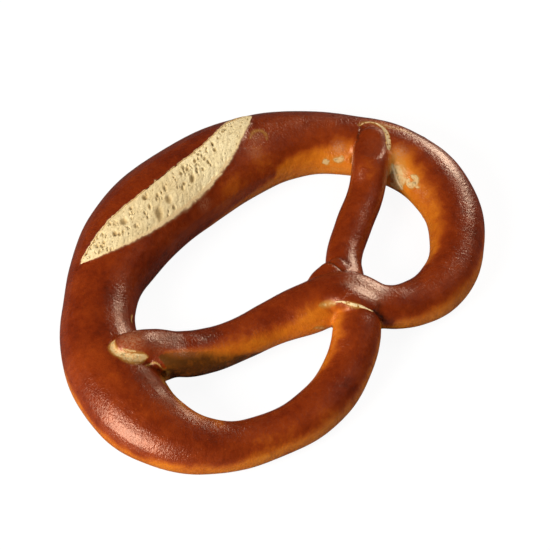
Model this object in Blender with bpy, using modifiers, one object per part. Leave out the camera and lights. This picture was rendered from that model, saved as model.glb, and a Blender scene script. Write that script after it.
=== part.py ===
"""Giant soft pretzel: one hand-rolled rope of dough, baked into a single loaf of bread."""

import math

import bmesh
import bpy
from mathutils import Vector

# Millimetres to metres
MM = 0.001

# The rope from one tip to the other, in millimetres: across, towards the lobes, centre height, half-width.
# The over arm lies on the right of the belly ring and crosses above the other strand.
OVER_ARM = [
    (104.6, -15.6, 28.5, 3.4),
    (102.7, -13.6, 29.0, 7.2),
    (98.2, -9.2, 29.0, 9.3),
    (88.6, -2.0, 24.7, 11.3),
    (78.8, 7.5, 16.8, 13.7),
    (64.6, 15.6, 12.4, 13.4),
    (47.2, 23.6, 11.5, 12.8),
    (25.2, 31.2, 11.5, 13.8),
    (7.1, 41.2, 14.0, 15.7),
    (-12.2, 54.0, 17.5, 14.6),
    (-19.9, 72.1, 14.0, 13.6),
]
LEFT_LOBE = [
    (-35.6, 83.3, 10.5, 14.2),
    (-59.0, 87.2, 9.5, 15.4),
    (-89.5, 75.2, 9.5, 16.1),
    (-115.8, 45.8, 10.5, 18.6),
    (-123.0, 8.8, 11.0, 20.4),
]
BELLY = [
    (-111.3, -22.8, 11.5, 20.6),
    (-91.2, -47.2, 12.5, 23.0),
    (-57.0, -64.6, 14.5, 27.2),
    (-19.1, -72.1, 16.0, 28.8),
    (17.1, -73.2, 16.5, 28.4),
    (47.0, -66.8, 15.5, 25.2),
    (75.0, -53.8, 14.0, 21.0),
    (99.7, -32.0, 13.5, 21.8),
]
RIGHT_LOBE = [
    (117.0, 0.0, 14.0, 23.6),
    (122.0, 30.2, 13.0, 20.5),
    (110.5, 58.5, 10.0, 15.7),
    (85.8, 76.8, 8.5, 13.4),
    (55.5, 85.8, 8.5, 13.8),
    (25.7, 82.0, 9.5, 13.5),
    (1.0, 70.4, 16.0, 13.4),
]
UNDER_ARM = [
    (-16.1, 51.3, 15.0, 11.5),
    (-26.0, 42.2, 12.8, 10.4),
    (-36.0, 33.2, 11.5, 10.5),
    (-60.7, 21.8, 12.3, 11.0),
    (-85.5, 12.1, 15.2, 10.8),
    (-99.4, 4.0, 22.5, 10.8),
    (-110.4, -3.5, 24.3, 10.4),
    (-116.4, -7.6, 23.5, 8.6),
    (-119.4, -9.7, 23.0, 4.6),
]

# Webs of dough that fill the corners between the fused strands, each from one end to the other
WEBS = [
    [(-2.0, 38.0, 16.0, 5.5), (-8.1, 35.7, 17.6, 6.0), (-16.2, 37.4, 17.8, 8.0), (-25.0, 40.6, 16.5, 9.0)],
    [(-20.5, 79.5, 8.5, 5.0), (-14.0, 71.0, 10.0, 9.0)],
    [(4.0, 55.0, 9.0, 5.5), (-4.0, 60.0, 10.0, 9.0)],
    [(84.0, 12.2, 11.0, 4.0), (91.0, 6.0, 16.0, 9.0)],
    [(6.0, 44.0, 17.5, 6.0), (-2.5, 53.0, 23.5, 8.5), (-6.0, 62.0, 25.0, 8.5), (-10.5, 72.0, 20.0, 8.0)],
    [(96.0, 2.5, 24.5, 5.0), (88.8, 8.4, 23.5, 7.0), (80.2, 13.8, 19.5, 7.5), (68.0, 19.5, 14.5, 7.0)],
    [(-92.0, 12.5, 12.0, 5.0), (-101.0, 9.0, 19.5, 7.5), (-110.0, 4.0, 23.0, 7.0)],
]

# Places where the soft dough is pressed to a sloping flat, in millimetres:
# across, towards the lobes, height, slope across, slope towards the lobes, radius, softness
FLATS = [
    (-13.5, 63.5, 29.3, 0.34, -0.26, 22.0, 1.2),
    (84.5, 6.5, 29.6, 0.33, -0.27, 17.0, 0.7),
    (-106.5, -2.0, 29.6, -0.03, -0.06, 16.0, 1.8),
]
# The inner share of a flat's radius that is pressed in full is 1 - 1 / FLAT_EDGE
FLAT_EDGE = 1.6

# Height of the rope's section over its width: dough sags as it proves
FLATNESS = 0.78

# Points along the rope between two stations, and round its section in each quarter
STEPS_ALONG = 10
STEPS_ROUND = 8

# The slash along the crown of the belly, which opens to show the crumb, in millimetres.
# Its outer lip runs nearly straight and its inner lip bows towards the hole.
SPLIT_MIDDLE = -4.8
SPLIT_HALF_LENGTH = 76.4
SPLIT_TIP_BACK = -72.0
SPLIT_OUTER_BACK = -75.5
SPLIT_INNER_BACK = -50.7
SPLIT_BOW = 2.6
SPLIT_DEPTH = 1.4
SPLIT_WALL = 2.0
LIP_HEIGHT = 0.7
LIP_WIDTH = 2.5
# Width inside the slash over which a lip falls off
LIP_INSIDE = 1.0
# Least upward part of the skin's direction where the slash is opened
UPPER_SIDE = 0.2

# Grid that fuses the strands where they cross and touch
FUSE_GRID = 1.5 * MM
FUSE_PASSES = 12

# Share of the fused surface's triangles that the finished solid keeps
KEEP_SHARE = 0.09
# The base: points this close to the table are laid on it
BASE_SNAP = 0.25 * MM
# Edges shorter than this are dissolved
SHORTEST_EDGE = 0.01 * MM


def clear_scene():
    """Remove the objects of the scene the file opens with."""
    for obj in list(bpy.data.objects):
        bpy.data.objects.remove(obj, do_unlink=True)


def new_collection(name):
    """A collection linked to the scene."""
    group = bpy.data.collections.new(name)
    bpy.context.scene.collection.children.link(group)
    return group


def crust_material(name):
    """Dark glossy lye crust."""
    material = bpy.data.materials.new(name)
    material.use_nodes = True
    shader = material.node_tree.nodes["Principled BSDF"]
    shader.inputs["Base Color"].default_value = (0.24, 0.06, 0.015, 1.0)
    shader.inputs["Roughness"].default_value = 0.4
    return material


def add_strand(curve, stations):
    """Add one strand of dough to the curve, through its stations."""
    spline = curve.splines.new("BEZIER")
    spline.radius_interpolation = "CARDINAL"
    spline.bezier_points.add(len(stations) - 1)
    for point, (across, back, height, half_width) in zip(spline.bezier_points, stations):
        point.co = Vector((across, back, height / FLATNESS)) * MM
        point.radius = half_width
        point.handle_left_type = "AUTO"
        point.handle_right_type = "AUTO"


def rope_curve(name, group):
    """The rope and its webs as round tubes along a curve, thick where the dough is thick."""
    curve = bpy.data.curves.new(name, "CURVE")
    curve.dimensions = "3D"
    curve.bevel_depth = MM
    curve.bevel_resolution = STEPS_ROUND
    curve.use_fill_caps = True
    curve.resolution_u = STEPS_ALONG
    add_strand(curve, OVER_ARM + LEFT_LOBE + BELLY + RIGHT_LOBE + UNDER_ARM)
    for web in WEBS:
        add_strand(curve, web)
    obj = bpy.data.objects.new(name, curve)
    group.objects.link(obj)
    obj.scale = (1.0, 1.0, FLATNESS)
    return obj


def apply_all(obj):
    """The mesh that the object's modifiers and its own scale give."""
    graph = bpy.context.evaluated_depsgraph_get()
    result = bpy.data.meshes.new_from_object(obj.evaluated_get(graph))
    result.transform(obj.matrix_world)
    return result


def changed(mesh, group, kind, **settings):
    """The mesh that one modifier makes of the given mesh."""
    carrier = bpy.data.objects.new("carrier", mesh)
    group.objects.link(carrier)
    modifier = carrier.modifiers.new(kind.title(), kind)
    for key, value in settings.items():
        setattr(modifier, key, value)
    bpy.context.view_layer.update()
    result = apply_all(carrier)
    bpy.data.objects.remove(carrier, do_unlink=True)
    return result


def lay_on_table(mesh, reach):
    """Lay everything below the table, or within reach of it, flat on it."""
    for vertex in mesh.vertices:
        if vertex.co.z < reach:
            vertex.co.z = 0.0
    mesh.update()


def flat_sink(place, flat):
    """How far a place in millimetres sinks where one flat is pressed."""
    across, back, height, slope_across, slope_back, radius, softness = flat
    gap = math.hypot(place.x - across, place.y - back)
    edge = min(max(FLAT_EDGE * (1.0 - gap / radius), 0.0), 1.0)
    if edge == 0.0:
        return 0.0
    over = place.z - height - (place.x - across) * slope_across - (place.y - back) * slope_back
    sink = softness * math.log1p(math.exp(-abs(over) / softness)) + max(over, 0.0)
    return sink * edge * edge * (3.0 - 2.0 * edge)


def press_flats(mesh):
    """Press the flats into the top of the dough."""
    for flat in FLATS:
        for vertex in mesh.vertices:
            vertex.co.z -= flat_sink(vertex.co / MM, flat) * MM
    mesh.update()


def split_relief(across, back):
    """Height of the split's relief in millimetres: below zero in the crumb, above zero on the lips."""
    reach = abs(across - SPLIT_MIDDLE) / SPLIT_HALF_LENGTH
    if reach >= 1.0:
        return 0.0
    bow = 1.0 - reach ** SPLIT_BOW
    outer = SPLIT_TIP_BACK + (SPLIT_OUTER_BACK - SPLIT_TIP_BACK) * bow
    inner = SPLIT_TIP_BACK + (SPLIT_INNER_BACK - SPLIT_TIP_BACK) * bow
    inside = min(back - outer, inner - back)
    if inside > 0.0:
        lip = LIP_HEIGHT * max(1.0 - inside / LIP_INSIDE, 0.0)
        return bow * (lip - SPLIT_DEPTH * min(inside / SPLIT_WALL, 1.0))
    return bow * LIP_HEIGHT * max(1.0 + inside / LIP_WIDTH, 0.0)


def open_split(mesh):
    """Press the crumb of the split in and raise its lips, on the upper side of the belly."""
    normals = [vertex.normal.copy() for vertex in mesh.vertices]
    for vertex, normal in zip(mesh.vertices, normals):
        if normal.z > UPPER_SIDE:
            relief = split_relief(vertex.co.x / MM, vertex.co.y / MM)
            vertex.co += normal * relief * MM
    mesh.update()


def centre_on_base(mesh):
    """Move the mesh so that the origin is the middle of its bounding box, at the base."""
    xs = [vertex.co.x for vertex in mesh.vertices]
    ys = [vertex.co.y for vertex in mesh.vertices]
    middle_x = (min(xs) + max(xs)) / 2
    middle_y = (min(ys) + max(ys)) / 2
    for vertex in mesh.vertices:
        vertex.co.x -= middle_x
        vertex.co.y -= middle_y
    mesh.update()


def close_mesh(mesh):
    """Merge stray points and make every face a triangle that looks outwards."""
    work = bmesh.new()
    work.from_mesh(mesh)
    bmesh.ops.dissolve_degenerate(work, dist=SHORTEST_EDGE, edges=work.edges)
    bmesh.ops.triangulate(work, faces=work.faces)
    bmesh.ops.recalc_face_normals(work, faces=work.faces)
    work.to_mesh(mesh)
    work.free()


def build():
    """Build the pretzel."""
    clear_scene()
    group = new_collection("giant_pretzel")
    rope = rope_curve("rope", group)
    bpy.context.view_layer.update()
    tube = apply_all(rope)
    bpy.data.objects.remove(rope, do_unlink=True)

    solid = changed(tube, group, "REMESH", mode="VOXEL", voxel_size=FUSE_GRID)
    press_flats(solid)
    solid = changed(solid, group, "SMOOTH", factor=0.5, iterations=FUSE_PASSES)
    open_split(solid)
    lay_on_table(solid, 0.0)

    finished = changed(solid, group, "DECIMATE", ratio=KEEP_SHARE, use_collapse_triangulate=True)
    lay_on_table(finished, BASE_SNAP)
    centre_on_base(finished)
    close_mesh(finished)
    finished.name = "pretzel"
    finished.materials.clear()
    finished.materials.append(crust_material("pretzel"))
    pretzel = bpy.data.objects.new("pretzel", finished)
    group.objects.link(pretzel)
    print("pretzel triangles", len(finished.polygons))


build()
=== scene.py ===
"""Dressed giant soft pretzel: lye crust, crumb in the split, torn dough at the joins, soft studio light."""

import logging
import math
from dataclasses import dataclass, field
from enum import Enum

import bpy
import numpy as np
from bpy.types import Material, Mesh, Node, NodeSocket, NodeTree, Object, Spline
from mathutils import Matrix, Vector, noise
from mathutils.bvhtree import BVHTree


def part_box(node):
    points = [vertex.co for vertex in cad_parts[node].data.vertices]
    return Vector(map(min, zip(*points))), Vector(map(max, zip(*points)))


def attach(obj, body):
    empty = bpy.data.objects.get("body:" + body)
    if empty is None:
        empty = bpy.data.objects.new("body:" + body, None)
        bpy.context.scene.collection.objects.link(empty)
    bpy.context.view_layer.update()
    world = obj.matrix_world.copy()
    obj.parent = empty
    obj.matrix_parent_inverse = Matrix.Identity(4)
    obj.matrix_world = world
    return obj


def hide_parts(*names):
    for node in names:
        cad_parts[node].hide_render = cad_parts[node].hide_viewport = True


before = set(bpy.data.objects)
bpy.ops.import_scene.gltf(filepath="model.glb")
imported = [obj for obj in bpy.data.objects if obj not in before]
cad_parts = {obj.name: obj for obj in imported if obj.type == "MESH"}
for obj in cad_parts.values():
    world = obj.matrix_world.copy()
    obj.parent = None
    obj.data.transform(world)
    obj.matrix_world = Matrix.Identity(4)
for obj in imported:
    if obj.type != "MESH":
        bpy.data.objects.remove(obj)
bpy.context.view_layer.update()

log = logging.getLogger("pretzel")

# Millimetres to metres
MM = 0.001
# Distance in millimetres that stands for out of reach
FAR = 1e3
WHITE = (1.0, 1.0, 1.0)

Point = tuple[float, float, float]
Station = tuple[float, float, float, float]
Colour = tuple[float, float, float]
# Strength, width in millimetres and offset of one noise
Layer = tuple[float, float, float]
# Strength, radians per millimetre and start in radians of one wave
Wave = tuple[float, float, float]
# Across, towards the lobes, height, radius, all in millimetres, and strength of a round patch of crust
Patch = tuple[float, float, float, float, float]


class BakeStage(Enum):
    """How far a patch of crust has baked, from the pale foot to the darkest crown."""

    FOOT = 0.0
    GOLD = 0.18
    AMBER = 0.40
    CHESTNUT = 0.62
    DEEP = 0.82
    DARKEST = 1.0


# ---------------------------------------------------------------- objects and meshes


def deselect() -> None:
    """Deselect every object."""
    bpy.ops.object.select_all(action="DESELECT")


def take(obj: Object) -> None:
    """Make an object the only selected one, and the active one.

    Args:
        obj: the object to take up.
    """
    deselect()
    obj.select_set(True)
    bpy.context.view_layer.objects.active = obj


def finish_with(obj: Object, kind: str, **settings: object) -> None:
    """Add a modifier and apply it at once.

    Args:
        obj: the object that is finished.
        kind: the modifier's type.
        settings: the modifier's own settings.
    """
    take(obj)
    modifier = obj.modifiers.new(kind.title(), kind)
    for key, value in settings.items():
        setattr(modifier, key, value)
    bpy.ops.object.modifier_apply(modifier=modifier.name)


def read_points(mesh: Mesh) -> np.ndarray:
    """Vertex places.

    Args:
        mesh: the mesh to read.

    Returns:
        One row of x, y, z in metres for each vertex.
    """
    flat = np.empty(len(mesh.vertices) * 3)
    mesh.vertices.foreach_get("co", flat)
    return flat.reshape(-1, 3)


def read_normals(mesh: Mesh) -> np.ndarray:
    """Vertex normals.

    Args:
        mesh: the mesh to read.

    Returns:
        One unit vector for each vertex.
    """
    flat = np.empty(len(mesh.vertices) * 3)
    mesh.vertex_normals.foreach_get("vector", flat)
    return flat.reshape(-1, 3)


def write_points(mesh: Mesh, points: np.ndarray) -> None:
    """Move the vertices to new places in metres."""
    mesh.vertices.foreach_set("co", points.ravel())
    mesh.update()


def write_mask(mesh: Mesh, name: str, values: np.ndarray) -> None:
    """Store a number, or a row of three, for each vertex, for the material to read."""
    kind, key = ("FLOAT", "value") if values.ndim == 1 else ("FLOAT_VECTOR", "vector")
    mesh.attributes.new(name, kind, "POINT").data.foreach_set(key, values.astype(np.float32).ravel())


def grain(points: np.ndarray, size: float, offset: float = 0.0) -> np.ndarray:
    """Smooth noise, about -1 to 1.

    Args:
        points: places in metres.
        size: width of the noise's lumps in millimetres.
        offset: moves the pattern, so that two uses differ.

    Returns:
        One number for each place.
    """
    scaled = points / (size * MM) + offset
    return np.array([noise.noise(Vector(row)) for row in scaled])


def layered(points: np.ndarray, layers: tuple[Layer, ...]) -> np.ndarray:
    """Sum of several smooth noises at places in metres."""
    return sum(strength * grain(points, size, offset) for strength, size, offset in layers)


def waved(across: np.ndarray, waves: tuple[Wave, ...]) -> np.ndarray:
    """Sum of several waves at places across, in millimetres."""
    return sum(strength * np.sin(across * turns + start) for strength, turns, start in waves)


def ease(values: np.ndarray) -> np.ndarray:
    """Smooth step from 0 to 1 of values that are cut to 0 to 1 first."""
    cut = np.clip(values, 0.0, 1.0)
    return cut * cut * (3.0 - 2.0 * cut)


def patch_shares(points: np.ndarray, patches: tuple[Patch, ...]) -> list[np.ndarray]:
    """How much each round patch counts, from its strength in the middle to 0 at its radius.

    Args:
        points: places in metres.
        patches: the patches.

    Returns:
        One row of numbers for each patch.
    """
    return [strength * ease(1.0 - np.linalg.norm(points / MM - np.array(centre), axis=1) / radius)
            for *centre, radius, strength in patches]


def surface_tree(obj: Object) -> BVHTree:
    """Search tree over an object's faces, in the object's own space."""
    points = [vertex.co.copy() for vertex in obj.data.vertices]
    return BVHTree.FromPolygons(points, [tuple(face.vertices) for face in obj.data.polygons])


def smooth_line(points: np.ndarray, spacing: float) -> np.ndarray:
    """A smooth line through points.

    Args:
        points: rows of numbers; the first three are the place in millimetres, the rest ride along.
        spacing: distance between two samples in millimetres.

    Returns:
        Rows of the same numbers, at about the spacing.
    """
    padded = np.vstack([2 * points[0] - points[1], points, 2 * points[-1] - points[-2]])
    rows = []
    for start in range(1, len(padded) - 2):
        before, here, after, beyond = padded[start - 1:start + 3]
        steps = max(int(np.linalg.norm((after - here)[:3]) / spacing), 1)
        for step in range(steps):
            t = step / steps
            bend = 2 * before - 5 * here + 4 * after - beyond
            twist = 3 * here - before - 3 * after + beyond
            rows.append(0.5 * (2 * here + (after - before) * t + bend * t**2 + twist * t**3))
    rows.append(padded[-2])
    return np.array(rows)


def flat_grid(name: str, steps: tuple[int, int]) -> tuple[Object, np.ndarray]:
    """A flat sheet of squares, one metre wide.

    Args:
        name: the sheet's name.
        steps: number of squares each way.

    Returns:
        The sheet and its vertices' places.
    """
    deselect()
    bpy.ops.mesh.primitive_grid_add(x_subdivisions=steps[0], y_subdivisions=steps[1], size=1.0)
    sheet = bpy.context.object
    sheet.name = name
    return sheet, read_points(sheet.data)


def close_sheet(sheet: Object, thickness: float) -> None:
    """Give a sheet a thickness below its face, and shade it smooth.

    Args:
        sheet: the sheet.
        thickness: how thick it gets, in millimetres.
    """
    finish_with(sheet, "SOLIDIFY", thickness=thickness * MM, offset=-1.0, use_even_offset=False)
    take(sheet)
    bpy.ops.object.shade_smooth()


# ---------------------------------------------------------------- shader nodes


@dataclass
class NodeTable:
    """Places and joins nodes in one node tree."""

    tree: NodeTree

    def node(self, kind: str, settings: dict | None = None, **inputs: object) -> Node:
        """Add a node.

        Args:
            kind: the node's type.
            settings: the node's own settings.
            inputs: values or sockets for its inputs, with _ for a space in the name.

        Returns:
            The new node.
        """
        made = self.tree.nodes.new(kind)
        for key, value in (settings or {}).items():
            setattr(made, key, value)
        self.fill(made, **inputs)
        return made

    def fill(self, target: Node, **inputs: object) -> None:
        """Feed a node's inputs by name.

        Args:
            target: the node.
            inputs: values or sockets for its inputs, with _ for a space in the name.
        """
        for key, value in inputs.items():
            self.feed(target.inputs[key.replace("_", " ")], value)

    def feed(self, socket: NodeSocket, value: object) -> None:
        """Link a socket to another one, or set its value.

        Args:
            socket: the input to feed.
            value: an output socket, a number, or a colour or vector.
        """
        if isinstance(value, NodeSocket):
            self.tree.links.new(value, socket)
        elif isinstance(value, tuple) and socket.type == "RGBA":
            socket.default_value = (*value, 1.0)
        else:
            socket.default_value = value

    def math(self, operation: str, first: object, second: object, clamp: bool = False) -> NodeSocket:
        """Add a Math node and return its result.

        Args:
            operation: what it does.
            first: its first number.
            second: its second number.
            clamp: whether the result is cut to 0 to 1.

        Returns:
            The result's socket.
        """
        made = self.tree.nodes.new("ShaderNodeMath")
        made.operation = operation
        made.use_clamp = clamp
        self.feed(made.inputs[0], first)
        self.feed(made.inputs[1], second)
        return made.outputs[0]

    def times(self, first: object, second: object) -> NodeSocket:
        """Product of two numbers."""
        return self.math("MULTIPLY", first, second)

    def plus(self, first: object, second: object) -> NodeSocket:
        """Sum of two numbers."""
        return self.math("ADD", first, second)

    def mix(self, factor: object, first: object, second: object, blend: str = "MIX") -> NodeSocket:
        """Mix two colours.

        Args:
            factor: share of the second.
            first: a colour.
            second: another.
            blend: how they mix.

        Returns:
            The mixed colour's socket.
        """
        made = self.tree.nodes.new("ShaderNodeMix")
        made.data_type = "RGBA"
        made.blend_type = blend
        made.clamp_factor = True
        self.feed(made.inputs[0], factor)
        self.feed(made.inputs[6], first)
        self.feed(made.inputs[7], second)
        return made.outputs[2]

    def cloud(self, vector: object, size: float, detail: float = 2.0, roughness: float = 0.5,
              warp: float = 0.0) -> NodeSocket:
        """Noise of a given size.

        Args:
            vector: where it is read, in metres.
            size: width of its lumps in millimetres.
            detail: number of finer layers.
            roughness: strength of the finer layers.
            warp: distortion.

        Returns:
            A socket that gives about 0.3 to 0.7, with a mean of 0.5.
        """
        made = self.node("ShaderNodeTexNoise", Vector=vector, Scale=1.0 / (size * MM), Detail=detail,
                         Roughness=roughness, Distortion=warp)
        return made.outputs["Fac"]

    def span(self, value: object, low: float, high: float, start: float = 0.0,
             end: float = 1.0) -> NodeSocket:
        """Map a range of values smoothly onto another.

        Args:
            value: the value's socket.
            low: value that gives start.
            high: value that gives end.
            start: result at the low end.
            end: result at the high end.

        Returns:
            The mapped value's socket.
        """
        made = self.node("ShaderNodeMapRange", {"interpolation_type": "SMOOTHSTEP"}, Value=value)
        for key, number in (("From Min", low), ("From Max", high), ("To Min", start), ("To Max", end)):
            made.inputs[key].default_value = number
        return made.outputs["Result"]

    def ramp(self, value: object, stops: list[tuple[float, Colour]]) -> NodeSocket:
        """Colour ramp.

        Args:
            value: what picks the colour.
            stops: places and colours.

        Returns:
            The colour's socket.
        """
        made = self.node("ShaderNodeValToRGB", Fac=value)
        elements = made.color_ramp.elements
        elements[0].position, elements[0].color = stops[0][0], (*stops[0][1], 1.0)
        elements[1].position, elements[1].color = stops[-1][0], (*stops[-1][1], 1.0)
        for place, colour in stops[1:-1]:
            elements.new(place).color = (*colour, 1.0)
        return made.outputs["Color"]

    def mask(self, name: str) -> NodeSocket:
        """One number stored on the mesh."""
        return self.node("ShaderNodeAttribute", {"attribute_name": name}).outputs["Fac"]


def new_material(name: str) -> tuple[Material, NodeTable, Node]:
    """Start a material.

    Args:
        name: the material's name.

    Returns:
        The material, its node table and its shader.
    """
    made = bpy.data.materials.new(name)
    made.use_nodes = True
    return made, NodeTable(made.node_tree), made.node_tree.nodes["Principled BSDF"]


def new_group(name: str, inputs: list[tuple[str, str, float | None]],
              outputs: list[tuple[str, str]]) -> tuple[NodeTable, dict, Node]:
    """Start a shader node group.

    Args:
        name: the group's name.
        inputs: name, socket type and start value of each input.
        outputs: name and socket type of each output.

    Returns:
        Its node table, its input sockets by name, and its output node.
    """
    tree = bpy.data.node_groups.new(name, "ShaderNodeTree")
    for label, kind, start in inputs:
        socket = tree.interface.new_socket(name=label, in_out="INPUT", socket_type=kind)
        if start is not None:
            socket.default_value = start
    for label, kind in outputs:
        tree.interface.new_socket(name=label, in_out="OUTPUT", socket_type=kind)
    table = NodeTable(tree)
    source = tree.nodes.new("NodeGroupInput")
    target = tree.nodes.new("NodeGroupOutput")
    return table, {label: source.outputs[label] for label, _, _ in inputs}, target


def mottle_group(broad_size: float = 16.0, fine_size: float = 3.6) -> NodeTree:
    """Uneven browning: broad clouds with finer ones in them.

    Args:
        broad_size: width of the broad clouds in millimetres.
        fine_size: width of the fine ones.

    Returns:
        A group that turns a place into a value round 0.
    """
    table, given, out = new_group(
        "Uneven Browning",
        [("Vector", "NodeSocketVector", None), ("Broad", "NodeSocketFloat", 0.2),
         ("Fine", "NodeSocketFloat", 0.1)],
        [("Value", "NodeSocketFloat")])
    broad = table.math("SUBTRACT", table.cloud(given["Vector"], broad_size, 3.0, 0.55, 0.4), 0.5)
    fine = table.math("SUBTRACT", table.cloud(given["Vector"], fine_size, 3.0, 0.6, 0.3), 0.5)
    total = table.plus(table.times(broad, given["Broad"]), table.times(fine, given["Fine"]))
    table.fill(out, Value=total)
    return table.tree


def skin_group(wrinkle_size: float = 1.1, grain_size: float = 1.5, bubble_gap: float = 2.1) -> NodeTree:
    """Fine wrinkles and bubbles of a baked skin.

    Args:
        wrinkle_size: width of the wrinkles in millimetres.
        grain_size: width of the grain.
        bubble_gap: distance between two bubbles.

    Returns:
        A group that turns a place and a place along the rope into a height, in millimetres.
    """
    table, given, out = new_group(
        "Baked Skin",
        [("Vector", "NodeSocketVector", None), ("Rope", "NodeSocketVector", None),
         ("Wrinkles", "NodeSocketFloat", 0.16), ("Grain", "NodeSocketFloat", 0.25),
         ("Bubbles", "NodeSocketFloat", 0.06)],
        [("Height", "NodeSocketFloat")])
    lines = table.cloud(given["Rope"], wrinkle_size, 2.0, 0.6, 0.6)
    fine = table.cloud(given["Vector"], grain_size, 2.0, 0.65, 0.2)
    dots = table.node("ShaderNodeTexVoronoi", {"feature": "F1"}, Vector=given["Vector"],
                      Scale=1.0 / (bubble_gap * MM), Randomness=1.0)
    domes = table.span(dots.outputs["Distance"], 0.0, 0.34, 1.0, 0.0)
    some = table.span(table.cloud(given["Vector"], 7.0, 1.0), 0.48, 0.62)
    height = table.plus(table.times(lines, given["Wrinkles"]), table.times(fine, given["Grain"]))
    bubbles = table.times(table.times(domes, some), given["Bubbles"])
    table.fill(out, Height=table.plus(height, bubbles))
    return table.tree


def crumb_group(tear_turn: float = -51.0, cell_size: float = 1.0) -> NodeTree:
    """Open bread crumb: cream walls, with painted shade in the pores, darker and warmer.

    Args:
        tear_turn: direction in which the crumb was pulled, in degrees round the upright.
        cell_size: width of the smallest cells in millimetres.

    Returns:
        A group that turns a place and a pore depth into a colour and a height in millimetres.
    """
    table, given, out = new_group(
        "Open Crumb",
        [("Vector", "NodeSocketVector", None), ("Pore", "NodeSocketFloat", 0.0),
         ("Toast", "NodeSocketFloat", 0.0), ("Wall Colour", "NodeSocketColor", None),
         ("Pore Colour", "NodeSocketColor", None), ("Toast Colour", "NodeSocketColor", None)],
        [("Colour", "NodeSocketColor"), ("Height", "NodeSocketFloat")])
    pulled = table.node("ShaderNodeMapping", Vector=given["Vector"], Scale=(0.32, 1.0, 1.0),
                        Rotation=(0.0, 0.0, math.radians(tear_turn)))
    cells = table.cloud(pulled.outputs["Vector"], cell_size, 2.0, 0.6, 0.8)
    tiny = table.span(cells, 0.40, 0.30)
    drift = table.span(table.cloud(given["Vector"], 7.0, 2.0), 0.35, 0.65)
    depth = table.math("ADD", given["Pore"], table.times(tiny, 0.4), clamp=True)
    walls = table.mix(drift, given["Wall Colour"], (0.97, 0.95, 0.91), "MULTIPLY")
    walls = table.mix(table.span(cells, 0.58, 0.42, 0.0, 0.8), walls, (0.89, 0.86, 0.79), "MULTIPLY")
    # Painted shade in the pores
    holed = table.mix(depth, walls, given["Pore Colour"])
    toasted = table.mix(given["Toast"], holed, given["Toast Colour"])
    table.fill(out, Colour=toasted, Height=table.times(cells, 0.6))
    return table.tree


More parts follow.
